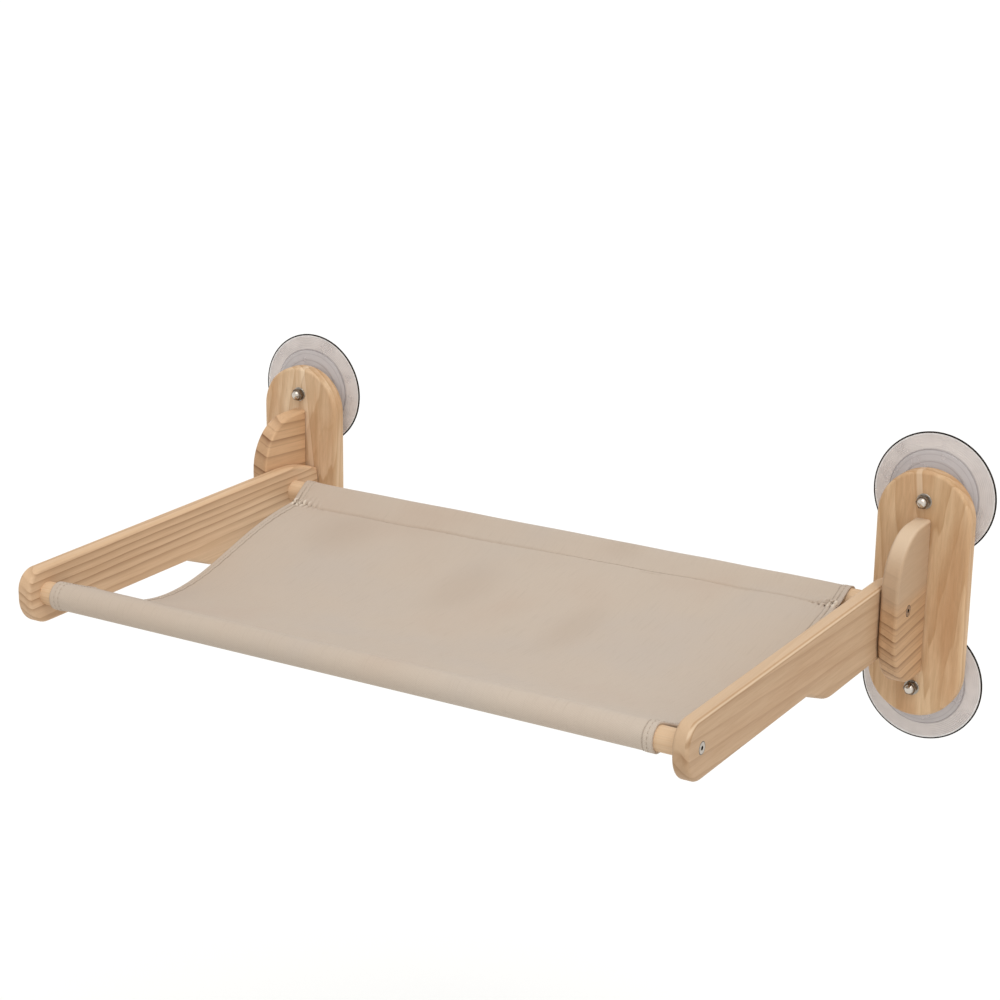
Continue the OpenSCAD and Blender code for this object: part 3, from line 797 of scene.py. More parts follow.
def armCorners(low, high):
    # bar with its nose and slope, then the rear end round the pivot, the heel and its ramp
    top = high.z
    bottom = top - arm["height"]
    nose = arm["noseRadius"]
    chin = arm["chinRadius"]
    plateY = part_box("right_plate")[0].y
    # the slope and the rear end are arcs that meet in one point
    slope = Vector((plateY - arm["slopeLength"], top - arm["slopeRadius"]))
    turning = Vector((pivot.y, pivot.z))
    reach = high.y - pivot.y - arm["plateGap"]
    gap = (slope - turning).length
    along = (reach ** 2 - arm["slopeRadius"] ** 2 + gap ** 2) / (2 * gap)
    aside = math.sqrt(reach ** 2 - along ** 2)
    way = (slope - turning) / gap
    meet = turning + way * along + Vector((-way.y, way.x)) * aside
    slopeEnd = math.degrees(math.atan2(meet.y - slope.y, meet.x - slope.x))
    rearStart = math.degrees(math.atan2(meet.y - turning.y, meet.x - turning.x))
    heelFront = plateY - arm["heelLength"]
    rampAngle = math.degrees(math.atan2(bottom - low.z, arm["rampLength"]))
    rampEase = arm["rampRadius"] * math.tan(math.radians(rampAngle / 2))
    return [
        sharpCorner(heelFront, bottom),
        (low.y + chin, bottom + chin, chin, 270, 180, arm["noseSteps"]),
        (low.y + nose, top - nose, nose, 180, 90, arm["noseSteps"]),
        (slope.x, slope.y, arm["slopeRadius"], 90, slopeEnd, arm["slopeSteps"]),
        (turning.x, turning.y, reach, rearStart, 0, arm["rearSteps"]),
        sharpCorner(high.y, turning.y - 0.004),
        sharpCorner(high.y, low.z),
        (heelFront + arm["rampLength"] + rampEase, low.z + arm["rampRadius"], arm["rampRadius"],
         270, 270 - rampAngle, arm["rampSteps"]),
    ]


def makeArm(side, sign):
    node = side + "_arm"
    low, high, middle = boxOf(node)
    thickness = high.x - low.x
    place = Matrix.Translation((middle.x, 0, 0))
    piece = makeBoard(side + "ArmBoard", armCorners(low, high), thickness, place, arm["easing"],
                      woods[side + "Arm"])
    # the dowels' ends lie in the board's wood, where they don't show
    outer = middle.x + sign * thickness / 2
    through = thickness + hole["runOut"]
    drill(piece, [
        ((outer, pivot.y, 0), (-sign, 0, 0), bore(hole["bolt"], through)),
        ((outer, frontDowelY, 0), (-sign, 0, 0), countersunk(hole["boltHead"], hole["bolt"], through)),
    ])
    settle(piece, "seat_frame", "pine_arm", node)


for side, sign in sides:
    makePlate(side)
    makeRib(side, sign)
    makeArm(side, sign)
print("boards ready")


# Dowels, turned with a small chamfer and drilled for their inserts

dowel = {"chamfer": 0.0008, "boreRadius": 0.00405, "boreDepth": 0.015, "steps": 64}


def makeDowel(which):
    node = which + "_dowel"
    low, high, middle = boxOf(node)
    radius = (high.z - low.z) / 2
    length = high.x - low.x
    chamfer = dowel["chamfer"]
    inner = dowel["boreRadius"]
    depth = dowel["boreDepth"]
    bm = bmesh.new()
    lathe(bm, [
        (0, depth), (inner, depth), (inner, 0), (radius - chamfer, 0), (radius, chamfer),
        (radius, length / 2), (radius, length - chamfer), (radius - chamfer, length),
        (inner, length), (inner, length - depth), (0, length - depth),
    ], dowel["steps"], facing((low.x, middle.y, 0), (1, 0, 0)))
    piece = makePiece(bm, which + "DowelRod", woods[which + "Dowel"])
    settle(piece, "seat_frame", "beech_dowel", node)


for which in ("front", "rear"):
    makeDowel(which)
print("dowels ready")


# Suction cups

cup = {
    "discRadius": 0.038, "discEdge": 0.00388, "hubRadius": 0.017, "hubFoot": 0.006,
    "hollow": 0.0012, "sealWidth": 0.007, "rim": 0.001, "bandRise": 0.0016,
    "ridges": 7, "ridge": 0.00010, "steps": 144,
}


def cupOutline(radius, height):
    # from the hollow's middle under the cup, out to the rim and back over the top to the hub
    hub = cup["hubRadius"]
    foot = cup["hubFoot"]
    rim = cup["rim"]
    disc = cup["discRadius"]
    edge = cup["discEdge"]
    seal = radius - cup["sealWidth"]
    inRim = radius - cupRim["width"]
    points = [
        (0, cup["hollow"]), (hub, cup["hollow"]), ((hub + seal) / 2, cup["hollow"] * 0.62), (seal, 0),
        (inRim, 0), (radius - 0.0003, 0), (radius, 0.0003), (radius, rim - 0.0003),
        (radius - 0.0002, rim), (inRim, rim + 0.00012), (radius - 0.0020, rim - 0.00010),
    ]
    # the band climbs to the disc in low ridges
    inner = disc + 0.0008
    outer = radius - 0.0024
    bumps = cup["ridges"] * 4
    for i in range(bumps + 1):
        share = i / bumps
        lift = cup["ridge"] * (1 - math.cos(fullTurn * share * cup["ridges"])) / 2
        points.append((outer + (inner - outer) * share, rim - 0.0001 + cup["bandRise"] * share + lift))
    top = rim + cup["bandRise"]
    step = disc * 0.8
    points += [
        (disc + 0.0002, top), (disc, top + 0.0002), (disc - 0.0005, edge - 0.0003), (disc - 0.0010, edge),
        (step + 0.0006, edge + 0.0006), (step, edge + 0.0010), (step - 0.0006, edge + 0.0011),
        (hub + 0.0010, foot), (hub + 0.0003, foot + 0.0004), (hub, foot + 0.0010),
        (hub, height - 0.0003), (hub - 0.0003, height), (0, height),
    ]
    return points


def makeCup(name, node):
    low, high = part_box(node)
    radius = (high.x - low.x) / 2
    bm = bmesh.new()
    lathe(bm, cupOutline(radius, high.y - low.y), cup["steps"])
    for face in bm.faces:
        if face.calc_center_median().xy.length > radius - cupRim["width"]:
            face.material_index = 1
    bmesh.ops.transform(bm, matrix=onBack(node), verts=bm.verts)
    piece = makePiece(bm, name, cupPlastic, 50)
    piece.data.materials.append(cupRimPaintedDark)
    settle(piece, "brackets", "cup_rubber", node)


# Dome nuts and washers

nut = {"hexHeight": 0.004, "domeShare": 0.475, "bevel": 0.0004, "domeSteps": 8, "steps": 36}
washer = {"bevel": 0.00025, "bore": 0.00305, "steps": 48}


def makeNut(name, node):
    low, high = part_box(node)
    height = high.y - low.y
    reach = max(high.x - low.x, high.z - low.z) / 2
    flats = 2 * reach * math.cos(math.radians(30))
    domeRadius = flats * nut["domeShare"]
    centre = height - domeRadius
    outline = [(0, 0), (reach, 0), (reach, nut["hexHeight"]), (domeRadius, nut["hexHeight"] + 0.0002),
               (domeRadius, centre)]
    for i in range(1, nut["domeSteps"] + 1):
        angle = math.pi / 2 * i / nut["domeSteps"]
        outline.append((domeRadius * math.cos(angle), centre + domeRadius * math.sin(angle)))
    bm = bmesh.new()
    lathe(bm, outline, nut["steps"])
    bmesh.ops.remove_doubles(bm, verts=bm.verts, dist=mergeGap)
    makeHexagonal(bm.verts, reach)
    bmesh.ops.recalc_face_normals(bm, faces=bm.faces)
    worn = [e for e in bm.edges if all(v.co.xy.length > reach * 0.99 for v in e.verts)]
    easeEdges(bm, worn, nut["bevel"], 2)
    bmesh.ops.transform(bm, matrix=onBack(node), verts=bm.verts)
    piece = makePiece(bm, name, metal["nickelNut"])
    keepFlatsFlat(piece)
    settle(piece, "brackets", "nut_chrome", node)


def makeNutWasher(name, node):
    low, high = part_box(node)
    radius = (high.x - low.x) / 2
    thick = high.y - low.y
    bevel = washer["bevel"]
    inner = washer["bore"]
    bm = bmesh.new()
    ring = [(inner, bevel), (inner + bevel, 0), (radius - bevel, 0), (radius, bevel),
            (radius, thick - bevel), (radius - bevel, thick), (inner + bevel, thick),
            (inner, thick - bevel), (inner, bevel)]
    lathe(bm, ring, washer["steps"], onBack(node))
    piece = makePiece(bm, name, metal["zincSteel"])
    settle(piece, "brackets", "zinc_steel", node)


for side, sign in sides:
    for level, up in levels:
        name = side + level.title()
        node = side + "_" + level
        makeCup(name + "SuctionCup", node + "_cup")
        makeNut(name + "DomeNut", node + "_nut")
        makeNutWasher(name + "NutWasher", node + "_washer")
print("cups and nuts ready")


# Countersunk bolts with a hexagon socket

bolt = {"shank": 0.0025, "edge": 0.0002, "socketShare": 0.3, "socketDepth": 0.0015, "steps": 36}


def makeBolt(side, sign, which, y):
    node = side + "_" + which + "_bolt"
    low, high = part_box(node)
    length = high.x - low.x
    head = (high.z - low.z) / 2
    shank = bolt["shank"]
    edge = bolt["edge"]
    socket = head * bolt["socketShare"] / math.cos(math.pi / 6)
    bm = bmesh.new()
    lathe(bm, [(0, bolt["socketDepth"]), (socket, bolt["socketDepth"]), (socket, 0), (head - edge, 0),
               (head, edge), (shank, head - shank), (shank, length - edge), (shank - edge, length),
               (0, length)], bolt["steps"])
    makeHexagonal(bm.verts, socket)
    outer = high.x if sign > 0 else low.x
    bmesh.ops.transform(bm, matrix=facing((outer, y, 0), (-sign, 0, 0)), verts=bm.verts)
    piece = makePiece(bm, side + which.title() + "Bolt", metal["boltSteel"])
    settle(piece, "seat_frame", "zinc_steel", node)


for side, sign in sides:
    makeBolt(side, sign, "front", frontDowelY)
    makeBolt(side, sign, "pivot", pivot.y)


# Rib screws: countersunk heads with a cross recess, a thread and a point

screw = {"head": 0.004, "shank": 0.002, "core": 0.0013, "pitch": 0.0018, "plain": 0.014, "length": 0.040,
         "tip": 0.004, "crossLength": 0.0045, "crossWidth": 0.0009, "crossDepth": 0.0014, "steps": 24}


def makeRibScrews(side):
    node = side + "_rib_screws"
    low, high, middle = boxOf(node)
    head = screw["head"]
    shank = screw["shank"]
    core = screw["core"]
    pitch = screw["pitch"]
    depth = screw["plain"]
    outline = [(0, 0), (head - 0.0002, 0), (head, 0.0002), (shank, head - shank), (shank, depth)]
    while depth < screw["length"] - screw["tip"]:
        outline += [(core, depth + pitch * 0.2), (core, depth + pitch * 0.6), (shank, depth + pitch)]
        depth += pitch
    outline += [(core, depth + 0.0003), (0, screw["length"])]
    bm = bmesh.new()
    for level, up in levels:
        lathe(bm, outline, screw["steps"], facing((middle.x, high.y, up * screwLevel), roomward))
    piece = makePiece(bm, side + "RibScrewPair", metal["zincSteel"])
    crosses = bmesh.new()
    for level, up in levels:
        for length, width in ((screw["crossLength"], screw["crossWidth"]),
                              (screw["crossWidth"], screw["crossLength"])):
            bar = bmesh.ops.create_cube(crosses, size=1)["verts"]
            bmesh.ops.scale(crosses, vec=(length, screw["crossDepth"] * 2, width), verts=bar)
            bmesh.ops.translate(crosses, vec=(middle.x, high.y, up * screwLevel), verts=bar)
    cutAway(piece, crosses, crossing=True)
    settle(piece, "brackets", "zinc_steel", node)


for side, sign in sides:
    makeRibScrews(side)

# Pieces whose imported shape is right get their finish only
finishes = {"_stud": metal["zincSteel"], "_insert": metal["turnedBrass"], "_pivot_washer": darkNylon}
for name, node in frame["nodes"].items():
    for ending, finish in finishes.items():
        if name.endswith(ending):
            node.data.materials.clear()
            node.data.materials.append(finish)
print("fasteners ready")


# Sling: one strip of canvas, sewn into a sleeve round each dowel

sling = {
    "width": 0.536,        # along the front dowel
    "flat": (0.562, 0.500),  # the cut strip, with its turned hems
    "shift": -0.002,       # the whole sling has slid along the dowels
    "rearGather": {"left": 0.0035, "right": 0.0015},  # each end of the rear seam is gathered in by this
    "flare": {"left": 0.005, "right": 0.001},     # the rear sleeve opens out again round its dowel
    "frontOut": {"left": 0.0045, "right": 0.0},   # the front sleeve has spread along its dowel by this
    "frontCorner": {"left": 0.0, "right": 0.005},  # and the cloth behind it by this, up to the sewn line
    "creep": 0.006,        # the rear seam's right end lies this much nearer its dowel
    "lift": 0.0035,        # and this much higher
    "wrap": 0.0105,        # radius of the cloth's middle round a dowel
    "pocket": 0.030,       # from a dowel's axis to its sewn line
    "seamDrop": 0.0015,
    "layerStep": 0.0016,   # from one sewn layer to the next
    "tailPast": 0.005,     # the under layer runs on past the sewn line
    "sagMiddle": 0.017, "sagEdge": 0.028,
    "sidePull": {"left": 0.016, "right": 0.003},  # how far in the edges are drawn
    "edgeGrowth": 3, "middleSkew": 1.3, "edgeSkew": {"left": 2.2, "right": 1.12}, "pullSkew": 1.2,
    "cornerGrowth": 12,    # the front corner's spread stays close to the front seam
    "cloth": 0.0009, "hemCloth": 0.0020, "hem": 0.0085,
    "hemStep": 0.0006,     # half the width over which the hem's thickness runs out
    "swell": 0.0020, "smallSwell": 0.0006,        # heights of the slow unevenness
    "puckered": 0.012,     # the sewing draws the cloth together this far from a sewn line
    "pucker": 0.00025, "groove": 0.00045,         # height of the puckers, depth of the sewn lines
    "bunched": {"left": 0.0019, "right": 0.0024},  # height of the gathers at the ends of the rear seam
    "gathered": {"left": 0.030, "right": 0.018},  # how far in from the edges those gathers reach
    "softFold": 0.0020,    # height of the soft folds that run forwards from the rear seam
    "cornerFold": 0.0013,  # height of the folds that cross where a hem meets the rear seam
}
stitch = {"length": 0.0026, "gap": 0.0011, "width": 0.0006, "lift": 0.0001, "edgeMargin": 0.003,
          "tack": 0.0054, "tackPitch": 0.0050, "cross": 0.0090}

halfCloth = sling["width"] / 2
hemRows = (sling["hem"] - 0.0006, sling["hem"] * 0.5)  # the stitched rows of a hem, from its edge
seamY = {"rear": pivot.y - sling["pocket"], "front": frontDowelY + sling["pocket"]}
seamPoint = Vector((sling["pocket"], -sling["seamDrop"]))
tailPoint = seamPoint - Vector((0, sling["layerStep"]))


def tangentAngle(point, above):
    lean = math.acos(sling["wrap"] / point.length)
    return math.atan2(point.y, point.x) + (lean if above else -lean)


def onWrap(angle):
    return sling["wrap"] * Vector((math.cos(angle), math.sin(angle)))


underAngle = tangentAngle(tailPoint, False)
overAngle = tangentAngle(seamPoint, True) - fullTurn
tailRun = (tailPoint - onWrap(underAngle)).length
arcRun = sling["wrap"] * (underAngle - overAngle)
topRun = (seamPoint - onWrap(overAngle)).length
sleeveRun = sling["tailPast"] + tailRun + arcRun + topRun
sheetRun = seamY["rear"] - seamY["front"]
clothRun = 2 * sleeveRun + sheetRun

# Canvas and its thread, with the weave in real thread counts on the cloth's own UV map in metres
canvas = {
    "pitch": 0.00085,  # one thread of the weave
    "colour": "C5B5A4", "cool": "C2B4A6", "rose": "C3B09E", "gap": "A89684",
    "thread": "C4B4A2", "threadShade": "A18F7D",
    # painted shade in the sewn lines and the gathers' slits
    "sewn": "7F6B58", "hemLine": 0.62, "foldLine": 0.7, "seamLine": 0.30,
    "slit": "54402F", "slitShare": 0.95,
    "ridge": "EADDCB", "ridgeShare": 0.65,       # the gathers catch the light
    "sleeveHem": {"left": 0.10, "right": 0.55},  # share of the hem's line that shows on the sleeves
    "paintedShade": "B7A492", "paintedLight": "D3C6B7",      # the cloth is painted between these across the seat, a painted shade and a painted light gradient
    # painted shade patches: place on the cloth, half width and length, strength
    "shadePatches": ((-0.185, 0.135, 0.050, 0.060, 0.60), (-0.028, 0.190, 0.040, 0.070, 0.42),
                (0.091, 0.215, 0.026, 0.070, 0.38), (0.062, 0.070, 0.030, 0.030, 0.35)),
}


def makeWeaveGroup():
    group, given, result = startGroup("plainWeave", [
        ("Cloth", "Vector", None),
        ("Pitch", "Float", 0.001),
    ], [("Height", "Float"), ("Gap", "Float"), ("Slub", "Float")])
    parts = axes(given["Cloth"])
    across = ratio(parts["X"], given["Pitch"])
    along = ratio(parts["Y"], given["Pitch"])
    waves = []
    for turned, straight in ((across, along), (along, across)):
        crown = maths("ABSOLUTE", maths("SINE", times(turned, math.pi)))
        thread = maths("FLOOR", turned)
        lift = plus(times(maths("COSINE", times(plus(straight, thread), math.pi)), 0.5), 0.5)
        waves.append(times(crown, plus(times(lift, 0.7), 0.3)))
    height = maths("MAXIMUM", *waves)
    slub = noiseValue(stretched(given["Cloth"], (1, 0.05, 1)), 700, 3, 0.6)
    feed(result, {
        "Height": plus(height, times(slub, 0.5)),
        "Gap": ramp(height, 0.15, 0.45, 1.0, 0.0),
        "Slub": slub,
    })
    return group


weaveGroup = makeWeaveGroup()


def sewnLines(cloth):
    # painted shade where the thread draws the cloth in: the hems' rows, the two seams and the gathers'
    # slits, and a painted highlight on the gathers' ridges
    parts = axes(cloth)
    fromEdge = minus(halfCloth, maths("ABSOLUTE", parts["X"]))
    fromRear = gapTo(parts["Y"], sleeveRun)
    fromFront = gapTo(parts["Y"], sleeveRun + sheetRun)
    fromMiddle = gapTo(parts["Y"], clothRun / 2)

    hemLine = ramp(gapTo(fromEdge, hemRows[0]), 0.0003, 0.0012, canvas["hemLine"], 0.0)
    hemLine = times(hemLine, ramp(noiseValue(cloth, 40, 2), 0.3, 0.6, 0.55, 1.0))
    onSleeve = ramp(parts["X"], -0.1, 0.1, canvas["sleeveHem"]["left"], canvas["sleeveHem"]["right"])
    onSheet = ramp(fromMiddle, sheetRun / 2 - 0.012, sheetRun / 2, 1.0, 0.0)
    hemLine = times(hemLine, maths("MAXIMUM", onSleeve, onSheet))
    foldLine = times(ramp(gapTo(fromEdge, hemRows[1]), 0.0002, 0.0012, canvas["foldLine"], 0.0),
                     ramp(fromRear, 0.010, 0.028, 1.0, 0.0))

    seamLine = ramp(maths("MINIMUM", fromRear, fromFront), 0.0002, 0.0010, canvas["seamLine"], 0.0)
    seamLine = times(seamLine, ramp(noiseValue(cloth, 9, 1), 0.40, 0.60))

    gather = maths("COSINE", times(ratio(fromEdge, stitch["tackPitch"]), fullTurn))
    reach = ramp(parts["X"], -0.1, 0.1, sling["gathered"]["left"], sling["gathered"]["right"])
    inward = ratio(fromEdge, reach)
    slit = times(ramp(gather, 0.55, 0.95), ramp(fromRear, 0.0028, 0.0050, 1.0, 0.0))
    slit = times(slit, ramp(inward, 0.4, 1.0, canvas["slitShare"], 0.0))
    ridge = times(ramp(gather, -0.9, -0.2, 1.0, 0.0), ramp(fromRear, 0.0035, 0.0075, 1.0, 0.0))
    ridge = times(ridge, ramp(inward, 0.33, 0.8, canvas["ridgeShare"], 0.0))
    return maths("MAXIMUM", hemLine, foldLine), seamLine, slit, ridge


def makeCanvas():
    material, tree, shader = startMaterial("cottonCanvas", {
        "Roughness": 0.9, "Specular IOR Level": 0.2, "Sheen Weight": 0.15, "Sheen Roughness": 0.5,
    })
    cloth = addNode(tree, "UVMap", uv_map="cloth").outputs["UV"]
    weave = addNode(tree, "Group", node_tree=weaveGroup)
    feed(weave.inputs, {"Cloth": cloth})
    weave.inputs["Pitch"].default_value = canvas["pitch"]
    patches = noiseValue(cloth, 7, 3, 0.5)
    colour = blendColours(ramp(patches, 0.30, 0.52), paint(canvas["cool"]), paint(canvas["colour"]))
    colour = tint(colour, ramp(patches, 0.48, 0.70), canvas["rose"])
    # painted darker towards the rear left and lighter towards the front right, a painted light gradient
    along = vectorMaths("DOT_PRODUCT", cloth, (1.0, 0.9, 0))
    colour = tint(colour, ramp(along, -0.10, 0.25, 0.22, 0.0), canvas["paintedShade"])
    colour = tint(colour, ramp(along, 0.30, 0.62, 0.0, 0.42), canvas["paintedLight"])
    # soft patches painted darker, a painted shade
    for x, y, reachX, reachY, share in canvas["shadePatches"]:
        spot = addNode(tree, "Mapping", {"Vector": cloth, "Location": (x, y, 0),
                                         "Scale": (reachX, reachY, 1)}, vector_type="TEXTURE")
        away = plus(vectorMaths("LENGTH", spot.outputs["Vector"]), minus(patches, 0.5))
        colour = tint(colour, ramp(away, 0.1, 1.0, share, 0.0), canvas["paintedShade"])
    # the weave's hollows are painted darker, a painted shade
    colour = tint(colour, times(weave.outputs["Gap"], 0.35), canvas["gap"])
    colour = tint(colour, ramp(weave.outputs["Slub"], 0.5, 0.8, 0.0, 0.25), canvas["gap"])
    hemLine, seamLine, slit, ridge = sewnLines(cloth)
    # the sewn lines and slits get painted shade, the ridges a painted highlight
    for share, code in ((ridge, "ridge"), (hemLine, "sewn"), (seamLine, "sewn"), (slit, "slit")):
        colour = tint(colour, share, canvas[code])
    feed(shader, {"Base Color": colour, "Normal": addBump(weave.outputs["Height"], 0.00018, 0.7)})
    return material


def makeThread():
    material, tree, shader = startMaterial("sewingThread", {"Roughness": 0.8})
    twist = noiseValue(objectPlace(tree), 2500, 2)
    colour = blendColours(ramp(twist, 0.35, 0.65), paint(canvas["thread"]), paint(canvas["threadShade"]))
    feed(shader, {"Base Color": colour, "Normal": addBump(twist, 0.0001)})
    return material


cottonCanvas = makeCanvas()
sewingThread = makeThread()

# widths of cloth and the columns or rows of the mesh in each: finer at the hems, seams and dowels
columnZones = ((0.030, 36), (sling["width"] - 0.060, 106), (0.030, 36))
sleeveZones = ((sling["tailPast"] + tailRun, 14), (arcRun, 26), (topRun - sling["puckered"], 9),
               (2 * sling["puckered"], 26))
rowZones = (*sleeveZones, (sheetRun - 2 * sling["puckered"], 96), *reversed(sleeveZones))


def spread(share, zones):
    # place along the cloth of a share of the mesh's columns or rows
    index = share * sum(count for length, count in zones)
    start = 0
    for length, count in zones:
        if index <= count:
            return start + length * index / count
        index -= count
        start += length
    return start


def clip(value, low=0):
    return min(1, max(low, value))


def near(distance, reach):
    return math.exp(-(distance / reach) ** 2)


def noiseAt(x, y, z):
    return noise.noise(Vector((x, y, z)))


def sideOf(across):
    return "left" if across < 0 else "right"


def drift(across):
    # grows from the left end of the rear seam to its right end
    return ((across + 1) / 2) ** 1.5


def sleevePlace(run):
    # side view of a sleeve, its dowel at the origin and its seam towards +X, from the under layer's end
    run -= sling["tailPast"]
    if run < 0:
        return tailPoint + Vector((-run, 0))
    if run < tailRun:
        return tailPoint.lerp(onWrap(underAngle), run / tailRun)
    run -= tailRun
    if run < arcRun:
        return onWrap(underAngle + (overAngle - underAngle) * run / arcRun)
    return onWrap(overAngle).lerp(seamPoint, min(1, (run - arcRun) / topRun))


def sheetPlace(across, share):
    # side view of the seat between its seams: share is 0 at the rear seam and 1 at the front one
    edge = abs(across) ** sling["edgeGrowth"]
    sag = sling["sagMiddle"] + (sling["sagEdge"] - sling["sagMiddle"]) * edge
    skew = sling["middleSkew"] + (sling["edgeSkew"][sideOf(across)] - sling["middleSkew"]) * edge
    y = seamY["rear"] + (seamY["front"] - seamY["rear"]) * share
    z = -sling["seamDrop"] - sag * math.sin(math.pi * share ** skew)
    y += sling["creep"] * drift(across) * (1 - share) ** 2
    z += sling["lift"] * drift(across) * (1 - share) ** 3
    return y, z


def halfWidth(across, share, openedOut, frontSpread):
    side = sideOf(across)
    edge = abs(across) ** sling["edgeGrowth"]
    width = halfCloth - sling["rearGather"][side] * (1 - share)
    width += sling["flare"][side] * openedOut * edge * (1 - share)
    width += sling["frontOut"][side] * share ** sling["cornerGrowth"] * edge
    width += sling["frontCorner"][side] * frontSpread * edge
    return width - sling["sidePull"][side] * math.sin(math.pi * share ** sling["pullSkew"]) * edge


def clothPlace(across, run):
    # a point of the smooth strip: across is -1 to 1, run is metres along it from the rear under layer's end
    openedOut = 0
    frontSpread = 0
    if run <= sleeveRun:
        share = 0
        flat = sleevePlace(run)
        crept = drift(across) * max(0, (flat.x - sling["wrap"]) / (sling["pocket"] - sling["wrap"]))
        y = pivot.y - flat.x + sling["creep"] * crept
        z = flat.y + sling["lift"] * drift(across) * max(0, flat.x / sling["pocket"]) ** 3
        openedOut = clip(1 - flat.x / sling["pocket"])
    elif run < sleeveRun + sheetRun:
        share = (run - sleeveRun) / sheetRun
        y, z = sheetPlace(across, share)
        frontSpread = share ** sling["cornerGrowth"]
    else:
        share = 1
        flat = sleevePlace(clothRun - run)
        y = frontDowelY + flat.x
        z = flat.y
        frontSpread = clip(flat.x / sling["pocket"])
    return Vector((across * halfWidth(across, share, openedOut, frontSpread) + sling["shift"], y, z))


def clothNormal(across, run):
    step = 0.0008
    alongCloth = clothPlace(across, run + step) - clothPlace(across, run - step)
    sideways = clothPlace(min(1, across + 0.004), run) - clothPlace(max(-1, across - 0.004), run)
    return sideways.cross(-alongCloth).normalized()


def clothRelief(across, run):
    # how far the cloth stands out of its smooth shape
    x = across * halfCloth
    fromEdge = halfCloth - abs(x)
    fromRear = run - sleeveRun
    fromFront = sleeveRun + sheetRun - run
    # slow swells and soft folds
    onSheet = clip(fromRear / 0.03) * clip(fromFront / 0.03)
    relief = noiseAt(x * 7, run * 5, 3.1) * sling["swell"] * onSheet
    relief += noiseAt(x * 19 + run * 8, run * 13, 8.7) * sling["smallSwell"] * onSheet
    relief += noiseAt(x * 21, run * 4, 4.4) * near(fromRear - 0.045, 0.060) * sling["softFold"]
    # puckers along the seams and hems
    seams = near(fromRear, sling["puckered"]) + near(fromFront, sling["puckered"])
    ripple = math.sin(x * 760 + 3 * noiseAt(x * 30, run * 10, 1.7))
    relief += ripple * seams * sling["pucker"] * (0.5 + 0.5 * noiseAt(x * 14, fromRear, 5.5))
    hemWave = math.sin(run * 520 + 4 * noiseAt(run * 25, across, 2.2))
    relief += hemWave * near(fromEdge - sling["hem"], 0.005) * sling["pucker"]
    # gathers at the seams' ends, and folds that cross where a hem meets the rear seam
    reach = sling["gathered"][sideOf(across)]
    bunch = -math.cos(fullTurn * fromEdge / stitch["tackPitch"]) * near(fromEdge - 0.4 * reach, 0.5 * reach)
    bunched = sling["bunched"][sideOf(across)]
    relief += bunch * (near(fromRear + 0.001, 0.007) * bunched + near(fromFront, 0.006) * 0.0003)
    inward = fromEdge - sling["hem"] * 0.8
    for slope in (-0.8, 0.8):
        relief += sling["cornerFold"] * near(fromRear - slope * inward, 0.0016) * near(inward, 0.0065)
    # grooves of the sewing: away from its ends the rear seam is pulled tight in places only
    tight = max(near(fromEdge, 0.045), clip(0.45 + 2 * noiseAt(x * 8, 0, 9.3), 0.1))
    grooves = near(fromEdge - hemRows[0], 0.0009) + 0.6 * near(fromEdge - hemRows[1], 0.0008)
    grooves += 1.3 * (near(fromRear, 0.0014) * tight + near(fromFront, 0.0014))
    deeper = 1 + 1.6 * near(fromRear - 0.006, 0.022)
    return relief - sling["groove"] * grooves * deeper


def clothSurface(across, run):
    return clothPlace(across, run) + clothNormal(across, run) * clothRelief(across, run)


def makeSling():
    bm = bmesh.new()
    uvLayer = bm.loops.layers.uv.new("cloth")
    deform = bm.verts.layers.deform.verify()
    bmesh.ops.create_grid(bm, x_segments=sum(count for length, count in columnZones),
                          y_segments=sum(count for length, count in rowZones), size=1)
    spots = {}
    for vert in bm.verts:
        across = spread((vert.co.x + 1) / 2, columnZones) / halfCloth - 1
        spots[vert] = (across, spread((vert.co.y + 1) / 2, rowZones))
    for face in bm.faces:
        face.smooth = True
        for loop in face.loops:
            across, run = spots[loop.vert]
            loop[uvLayer].uv = (across * halfCloth, run)
    for vert, (across, run) in spots.items():
        vert.co = clothSurface(across, run)
        fromEdge = (1 - abs(across)) * halfCloth
        vert[deform][0] = clip((sling["hem"] + sling["hemStep"] - fromEdge) / (2 * sling["hemStep"]))
    piece = addObject(bm, "canvasSling")
    piece.data.materials.append(cottonCanvas)
    piece.vertex_groups.new(name="hem")
    thick = piece.modifiers.new("cloth", "SOLIDIFY")
    thick.thickness = sling["hemCloth"]
    thick.offset = 0
    thick.vertex_group = "hem"
    thick.thickness_vertex_group = sling["cloth"] / sling["hemCloth"]
    thick.use_rim = True
    return piece


def makeStitchShape():
    bm = bmesh.new()
    bmesh.ops.create_uvsphere(bm, u_segments=6, v_segments=4, radius=1)
    mesh = bpy.data.meshes.new("stitch")
    bm.to_mesh(mesh)
    bm.free()
    return mesh


def addStitch(bm, shape, across, run, alongRun, face=1, length=stitch["length"], slant=0, stout=1):
    # one stitch lying on the cloth, its length along the strip or across it
    centre = clothSurface(across, run)
    up = clothNormal(across, run) * face
    if alongRun:
        way = clothSurface(across, run + 0.001) - clothSurface(across, run - 0.001)
    else:
        way = clothSurface(across + 0.002, run) - clothSurface(across - 0.002, run)
    way = Matrix.Rotation(math.radians(slant), 3, up) @ way.normalized()
    side = up.cross(way).normalized()
    turn = Matrix((way, side, up)).transposed().to_4x4()
    inHem = (1 - abs(across)) * halfCloth <= sling["hem"] + sling["hemStep"]
    lift = (sling["hemCloth"] if inHem else sling["cloth"]) / 2 + stitch["lift"]
    thick = stout * stitch["width"] / 2
    copy = shape.copy()
    copy.transform(Matrix.Translation(centre + up * lift) @ turn
                   @ Matrix.Diagonal((length / 2, thick, thick, 1)))
    bm.from_mesh(copy)
    bpy.data.meshes.remove(copy)


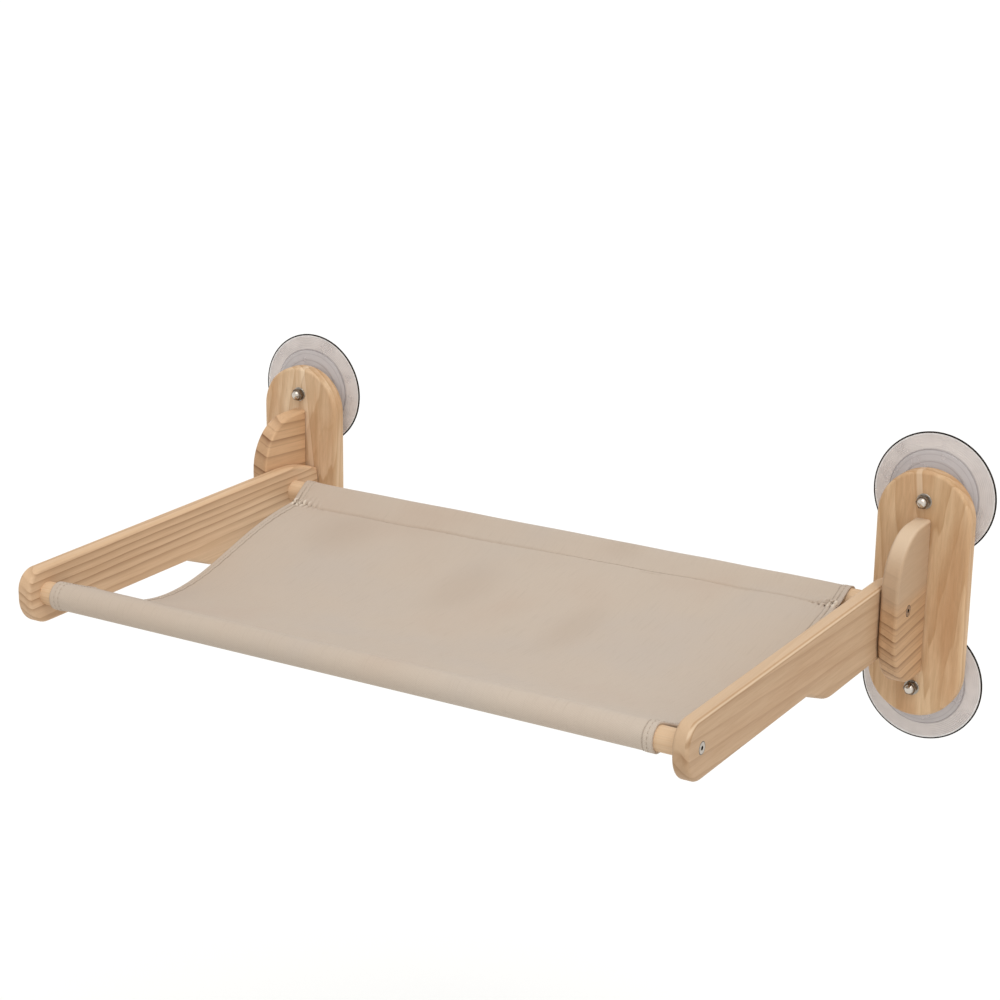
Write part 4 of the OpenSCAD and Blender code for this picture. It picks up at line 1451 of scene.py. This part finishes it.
def makeStitching():
    bm = bmesh.new()
    shape = makeStitchShape()
    pitch = stitch["length"] + stitch["gap"]
    reach = halfCloth - stitch["edgeMargin"]
    count = int(2 * reach / pitch)
    for run in (sling["tailPast"], sleeveRun, sleeveRun + sheetRun, clothRun - sling["tailPast"]):
        for i in range(count + 1):
            addStitch(bm, shape, (i / count * 2 - 1) * reach / halfCloth, run, False)
    first = sling["tailPast"] + 0.002
    count = int((clothRun - 2 * first) / pitch)
    for fromEdge in hemRows:
        for side, sign in sides:
            across = sign * (halfCloth - fromEdge) / halfCloth
            for i in range(count + 1):
                run = first + (clothRun - 2 * first) * i / count
                addStitch(bm, shape, across, run, True)
                if sleeveRun + 0.004 < run < sleeveRun + sheetRun - 0.004:
                    addStitch(bm, shape, across, run, True, -1)
    for side, sign in sides:
        # a row of bar tacks holds each end of the rear seam
        for i in range(5):
            across = sign * (halfCloth - (i + 1.5) * stitch["tackPitch"]) / halfCloth
            addStitch(bm, shape, across, sleeveRun + 0.0005, True, 1, stitch["tack"])
        # and a stout cross where the hem runs into it
        across = sign * (halfCloth - sling["hem"] * 0.75) / halfCloth
        for slant in (-40, 40):
            addStitch(bm, shape, across, sleeveRun, True, 1, stitch["cross"], slant, 1.8)
    bpy.data.meshes.remove(shape)
    markSharp(bm, 180)
    piece = addObject(bm, "slingStitching")
    piece.data.materials.append(sewingThread)
    return piece


slingPiece = makeSling()
settle(slingPiece, "seat_frame", "canvas", "sling")
stitching = makeStitching()
settle(stitching, "seat_frame", "canvas")
print("sling ready")


# Floor and light

studio = {
    "floorLevel": -0.75, "floorSize": 80, "floorColour": "E4E4E2", "floorGlow": 0.22,
    "worldLight": 0.72,
    "keyLight": 1.15, "keyAngle": 50, "keyFrom": (0.75, -0.9, 2.4),
    "fillLight": 0.30, "fillAngle": 60, "fillFrom": (2.4, -1.0, 0.8),
}


def seenByEye(tree):
    path = addNode(tree, "LightPath").outputs
    seen = maths("MAXIMUM", path["Is Camera Ray"], path["Is Glossy Ray"])
    return maths("MAXIMUM", seen, path["Is Transmission Ray"])


def makeFloor():
    bm = bmesh.new()
    bmesh.ops.create_grid(bm, x_segments=1, y_segments=1, size=studio["floorSize"] / 2,
                          matrix=Matrix.Translation((0, 0, studio["floorLevel"])))
    material, tree, shader = startMaterial("paleFloor", {
        "Base Color": paint(studio["floorColour"]), "Roughness": 1.0, "Specular IOR Level": 0.0,
        "Emission Color": (1, 1, 1, 1),
    })
    feed(shader, {"Emission Strength": times(seenByEye(tree), studio["floorGlow"])})
    floor = addObject(bm, "floor")
    floor.data.materials.append(material)


def makeWorld():
    world = bpy.data.worlds.new("studio")
    scene.world = world
    world.use_nodes = True
    tree = world.node_tree
    tree.nodes.clear()
    light = addNode(tree, "Background", {"Color": (1, 1, 1, 1), "Strength": studio["worldLight"]})
    white = addNode(tree, "Background", {"Color": (1, 1, 1, 1), "Strength": 1.0})
    mixed = addNode(tree, "MixShader", {0: seenByEye(tree), 1: light.outputs[0], 2: white.outputs[0]})
    addNode(tree, "OutputWorld", {"Surface": mixed.outputs[0]})


def makeLamp(name):
    # a wide soft lamp far away, so that the floor is lit evenly
    data = bpy.data.lights.new(name + "Lamp", "SUN")
    data.energy = studio[name + "Light"]
    data.angle = math.radians(studio[name + "Angle"])
    lamp = bpy.data.objects.new(name + "Lamp", data)
    lamp.matrix_world = facing(studio[name + "From"], studio[name + "From"])
    scene.collection.objects.link(lamp)


makeCamera()
makeFloor()
makeWorld()
makeLamp("key")
makeLamp("fill")
scene.view_settings.view_transform = "Standard"
print("studio ready")
